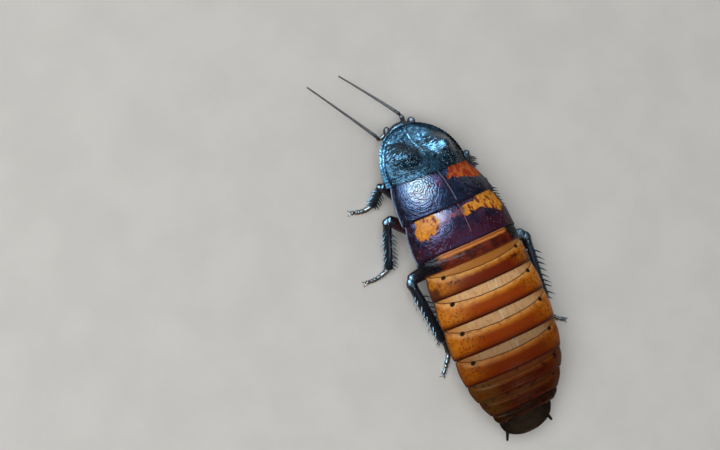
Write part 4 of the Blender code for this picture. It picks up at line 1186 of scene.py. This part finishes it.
def foot_pieces(path, ahead):
    """The foot's five joints, its pads and claws as two bmeshes, the dark one first."""
    dark, pads = bmesh.new(), bmesh.new()
    radii = (
        (0, 0.3), (0.03, 0.42), (0.36, 0.52), (0.4, 0.3), (0.44, 0.46), (0.53, 0.5), (0.57, 0.3),
        (0.6, 0.44), (0.67, 0.47), (0.7, 0.28), (0.73, 0.42), (0.78, 0.42), (0.8, 0.25),
        (0.84, 0.34), (0.95, 0.44), (1, 0.24),
    )
    sweep(dark, path, radii, 14)
    count = len(path) - 1
    rear = ahead.cross(Vector((0, 0, 1)))
    rear *= math.copysign(0.16, rear.y)
    turn = Matrix.Rotation(math.atan2(ahead.y, ahead.x), 4, "Z")
    for share in (0.28, 0.38, 0.52, 0.65, 0.77):
        spot = path[round(share * count)] + rear
        lump(pads, Vector((spot.x, spot.y, max(spot.z - 0.17, 0.24))), (0.34, 0.4, 0.23), turn, 16, 10)
    lump(pads, Vector((path[-1].x, path[-1].y, 0.26)) + ahead * 0.2, (0.26, 0.3, 0.2), turn, 14, 8)
    for sign in (-1, 1):
        out = Matrix.Rotation(sign * CLAW_SPREAD, 3, "Z") @ ahead
        root = path[-1] - ahead * 0.15
        bends = ((0.0, 0.0), (0.45, 0.12), (0.85, -0.12), (1.0, -0.32))
        hook = [root + out * far + Vector((0, 0, high)) for far, high in bends]
        sweep(dark, smooth_path(hook, 14), ((0, 0.22), (0.5, 0.13), (1, 0.03)), 8)
    press_on_floor(dark)
    return dark, pads


class LegOperator(bpy.types.Operator):
    """Make the six spined legs with their feet"""

    bl_idname = "cockroach.legs"
    bl_label = "Legs"

    def execute(self, context):
        colours, limbs = context.scene.cockroach_colours, context.scene.cockroach_limbs
        black = limb_finish(colours, "black_limb", (0.014, 0.006, 0.006), 0.5)
        reddish = limb_finish(colours, "reddish_limb", (0.035, 0.006, 0.005), 0.9)
        foot = spotted_finish("dark_foot", (0.06, 0.03, 0.015), (0.012, 0.009, 0.008), 0.9, 0.22, 0.05)
        cream = spotted_finish("cream_foot_pads", (0.62, 0.47, 0.24), (0.4, 0.26, 0.1), 1.5, 0.4, 0.05)
        for seed, (leg, (coxa, hip, knee, ankle, points)) in enumerate(LEGS.items()):
            rng = random.Random(seed)
            kind = leg.split("_")[0]
            size = LIMB_SIZE[kind]
            hip, knee, ankle = Vector(hip), Vector(knee), Vector(ankle)
            bm = bmesh.new()
            root, tip = Vector(coxa[0]), Vector(coxa[1])
            radii = ((0, 0.8), (0.12, 1.5), (0.4, 1.95), (0.7, 1.6), (0.9, 1.0), (1, 0.6))
            sweep(bm, [root.lerp(tip, k / 16) for k in range(17)], radii, 24, 0.56)
            joint = tip.lerp(hip, 0.5)
            lump(bm, joint, (0.75 * size, 0.6 * size, 0.55 * size), None, 20, 12)
            add_piece(f"Coxa_{leg}", bm, reddish, [f"coxa_{leg}"])

            thigh = (knee - hip).normalized()
            bm = bmesh.new()
            radii = (
                (0, 0.45), (0.08, 0.85), (0.32, 1.4), (0.6, 1.35),
                (0.8, 1.2), (0.93, 1.1), (0.98, 0.75), (1, 0.3),
            )
            radii = [(share, radius * size) for share, radius in radii]
            start, end = hip - thigh * 0.1, knee + thigh * 0.25
            sweep(bm, [start.lerp(end, k / 36) for k in range(37)], radii, 24, 0.8)
            add_piece(f"Thigh_{leg}", bm, reddish, [f"femur_{leg}"])

            shin = (ankle - knee).normalized()
            side = shin.cross(Vector((0, 0, 1))).normalized()
            up = side.cross(shin)
            bm = bmesh.new()
            stout = limbs.shin_radius * size
            radii = (
                (0, 0.35), (0.02, 0.75), (0.08, 1.05), (0.16, 0.92), (0.35, 1.0),
                (0.7, 0.92), (0.9, 1.02), (0.97, 0.95), (1, 0.5),
            )
            radii = [(share, radius * stout) for share, radius in radii]
            start, end = knee - shin * 0.35, ankle - shin * 0.1
            sweep(bm, [start.lerp(end, k / 36) for k in range(37)], radii, 20, 0.9)
            for row, degrees in enumerate(SPINE_ROWS[kind]):
                for k in range(SPINES_IN_ROW[kind]):
                    share = 0.2 + 0.68 * (k + 0.33 * row) / SPINES_IN_ROW[kind] + rng.uniform(-0.01, 0.01)
                    angle = math.radians(degrees + rng.uniform(-10, 10))
                    out = up * math.cos(angle) + side * math.sin(angle)
                    lean = (out + shin * 0.75).normalized()
                    at = knee.lerp(ankle, share) + out * stout * 0.5
                    reach = SPINE_LENGTH[kind] * rng.uniform(0.85, 1.1) + 0.5
                    if lean.z < 0:
                        reach = min(reach, (at.z - SPINE_CLEARANCE) / -lean.z)
                    if reach > 0.7:
                        thorn(bm, at, lean, reach, limbs.spine_radius)
            for degrees in (75, 125, 180, 235, 285):
                angle = math.radians(degrees)
                out = up * math.cos(angle) + side * math.sin(angle)
                lean = (out + shin * 0.9).normalized()
                at = knee.lerp(ankle, 0.94) + out * stout * 0.45
                reach = min(SPINE_LENGTH[kind] * 0.8, (at.z - SPINE_CLEARANCE) / max(-lean.z, 0.05))
                thorn(bm, at, lean, reach, limbs.spine_radius)
            press_on_floor(bm)
            add_piece(f"Shin_{leg}", bm, black, [f"tibia_{leg}"])

            path = smooth_path([ankle - shin * 0.2] + [Vector(p) for p in points], 61)
            ahead = (path[-1] - path[-4]).normalized()
            dark, pads = foot_pieces(path, ahead)
            add_piece(f"Foot_{leg}", dark, foot, [f"tarsus_{leg}"])
            add_piece(f"Foot_pads_{leg}", pads, cream, [f"tarsus_{leg}"])
        return {"FINISHED"}


# Stage

# The lights: name, direction from the body, distance and size in metres, brightness of the face,
# colour, and whether it shows only as a reflection or only lights.
SOFTBOXES = (
    ("Window", (0.52, -0.24, 0.82), 0.5, (0.46, 0.22), 18.0, (0.93, 0.96, 1.0), True),
    ("Sky", (0.42, -0.68, 0.6), 0.5, (0.5, 0.34), 36.0, (0.48, 0.8, 1.0), True),
    ("Front_sky", (-0.25, -0.86, 0.42), 0.5, (0.36, 0.22), 8.0, (0.5, 0.8, 1.0), True),
    ("Side_sky", (0.88, -0.38, 0.28), 0.5, (0.28, 0.26), 16.0, (0.55, 0.8, 1.0), True),
    ("High_sky", (-0.3, 0.06, 0.95), 0.5, (0.5, 0.5), 2.6, (0.6, 0.78, 1.0), True),
    ("Rear_lamp", (-0.24, 0.82, 0.51), 0.5, (0.04, 0.04), 120.0, (1.0, 0.95, 0.9), True),
    ("Soft_key", (0.45, -0.15, 0.88), 0.6, (0.6, 0.6), 3.0, (1.0, 0.98, 0.95), False),
    ("Soft_fill", (-0.6, 0.4, 0.7), 1.0, (0.9, 0.9), 0.7, (0.95, 0.97, 1.0), False),
)
FLOOR_DROP = 0.00002


def softbox(name, towards, distance, size, glow, colour, shine):
    """A flat light that stands off the body in a direction. Its face has the brightness glow.
    With shine it shows only as a reflection, and without it only lights."""
    light = bpy.data.lights.new(name, "AREA")
    light.shape = "RECTANGLE"
    light.size, light.size_y = size
    light.energy = glow * size[0] * size[1] * math.pi
    light.color = colour
    lamp = bpy.data.objects.new(name, light)
    lamp.visible_diffuse = not shine
    lamp.visible_glossy = shine
    bpy.context.scene.collection.objects.link(lamp)
    back = Vector(towards).normalized()
    side = (Vector((1, 0, 0)) - back * back.x).normalized()
    lamp.matrix_world = Matrix((side, back.cross(side), back)).transposed().to_4x4()
    lamp.location = TO_METRES @ BODY_MIDDLE + back * distance


class StageOperator(bpy.types.Operator):
    """Set up the pale floor, the soft lights and the camera"""

    bl_idname = "cockroach.stage"
    bl_label = "Stage"

    def execute(self, context):
        scene = context.scene
        stage = scene.cockroach_stage
        finish = Finish("pale_floor", coat=0.0, polish=0.0)
        speckle = finish.noise(0.08, None, 4.0)
        floor_colour = tuple(stage.floor)
        base = finish.mix(speckle.ease(0.3, 0.7), floor_colour, tuple(c * 0.94 for c in floor_colour))
        finish.wear(base, speckle * 0.1 + 0.55, finish.noise(1.5), 0.03)
        bm = bmesh.new()
        bmesh.ops.create_grid(bm, x_segments=2, y_segments=2, size=1.5)
        bmesh.ops.translate(bm, vec=Vector((0, 0, -FLOOR_DROP)), verts=bm.verts)
        mesh = bpy.data.meshes.new("Floor")
        bm.to_mesh(mesh)
        bm.free()
        mesh.materials.append(finish.material)
        floor = bpy.data.objects.new("Floor", mesh)
        scene.collection.objects.link(floor)

        power = stage.brightness
        for name, towards, distance, size, glow, colour, shine in SOFTBOXES:
            softbox(name, towards, distance, size, glow * power, colour, shine)

        world = bpy.data.worlds.new("Soft_room")
        world.use_nodes = True
        world.node_tree.nodes["Background"].inputs["Color"].default_value = (0.8, 0.86, 0.92, 1.0)
        world.node_tree.nodes["Background"].inputs["Strength"].default_value = 0.12 * power
        scene.world = world
        scene.view_settings.view_transform = "Standard"

        camera_data = bpy.data.cameras.new("Camera")
        camera_data.sensor_width = SENSOR_WIDTH
        camera_data.lens = FOCAL_PIXELS * SENSOR_WIDTH / PHOTO_WIDTH
        camera_data.clip_start = 0.01
        camera = bpy.data.objects.new("Camera", camera_data)
        scene.collection.objects.link(camera)
        right = PICTURE_DOWN.cross(VIEW_DIRECTION).normalized()
        basis = Matrix((right, -PICTURE_DOWN, -VIEW_DIRECTION)).transposed()
        to_right, to_top = MIDDLE_IN_PHOTO[0] - PHOTO_WIDTH / 2, PHOTO_HEIGHT / 2 - MIDDLE_IN_PHOTO[1]
        offset = Vector((to_right, to_top, -FOCAL_PIXELS))
        swing = offset.rotation_difference(Vector((0, 0, -1))).to_matrix()
        matrix = (basis @ swing).to_4x4()
        matrix.translation = TO_METRES @ (BODY_MIDDLE - VIEW_DIRECTION * CAMERA_DISTANCE)
        camera.matrix_world = matrix
        scene.camera = camera
        return {"FINISHED"}


class CockroachPanel(bpy.types.Panel):
    bl_idname = "VIEW3D_PT_cockroach"
    bl_label = "Hissing Cockroach"
    bl_space_type = "VIEW_3D"
    bl_region_type = "UI"
    bl_category = "Cockroach"

    def draw(self, context):
        for group in (context.scene.cockroach_shell, context.scene.cockroach_limbs,
                      context.scene.cockroach_colours, context.scene.cockroach_stage):
            box = self.layout.box()
            for name in group.bl_rna.properties.keys():
                if name not in ("rna_type", "name"):
                    box.prop(group, name)
        for operator in OPERATORS:
            self.layout.operator(operator.bl_idname)


SETTINGS = {
    "cockroach_shell": CockroachShell,
    "cockroach_limbs": CockroachLimbs,
    "cockroach_colours": CockroachColours,
    "cockroach_stage": CockroachStage,
}
OPERATORS = (
    StageOperator, ShieldOperator, ThoraxOperator, AbdomenOperator, TailOperator,
    HeadOperator, EyeOperator, FeelerOperator, LegOperator,
)
CLASSES = (*SETTINGS.values(), *OPERATORS, CockroachPanel)


def register():
    for group in CLASSES:
        bpy.utils.register_class(group)
    for name, group in SETTINGS.items():
        setattr(bpy.types.Scene, name, bpy.props.PointerProperty(type=group))


def unregister():
    for name in SETTINGS:
        delattr(bpy.types.Scene, name)
    for group in CLASSES:
        bpy.utils.unregister_class(group)


def main():
    for obj in [o for o in bpy.data.objects if o.name in ("Cube", "Light", "Camera")]:
        bpy.data.objects.remove(obj)
    register()
    bpy.ops.cockroach.stage()
    bpy.ops.cockroach.shield()
    bpy.ops.cockroach.thorax()
    bpy.ops.cockroach.abdomen()
    bpy.ops.cockroach.tail()
    bpy.ops.cockroach.head()
    bpy.ops.cockroach.eyes()
    bpy.ops.cockroach.feelers()
    bpy.ops.cockroach.legs()


if __name__ == "__main__":
    main()
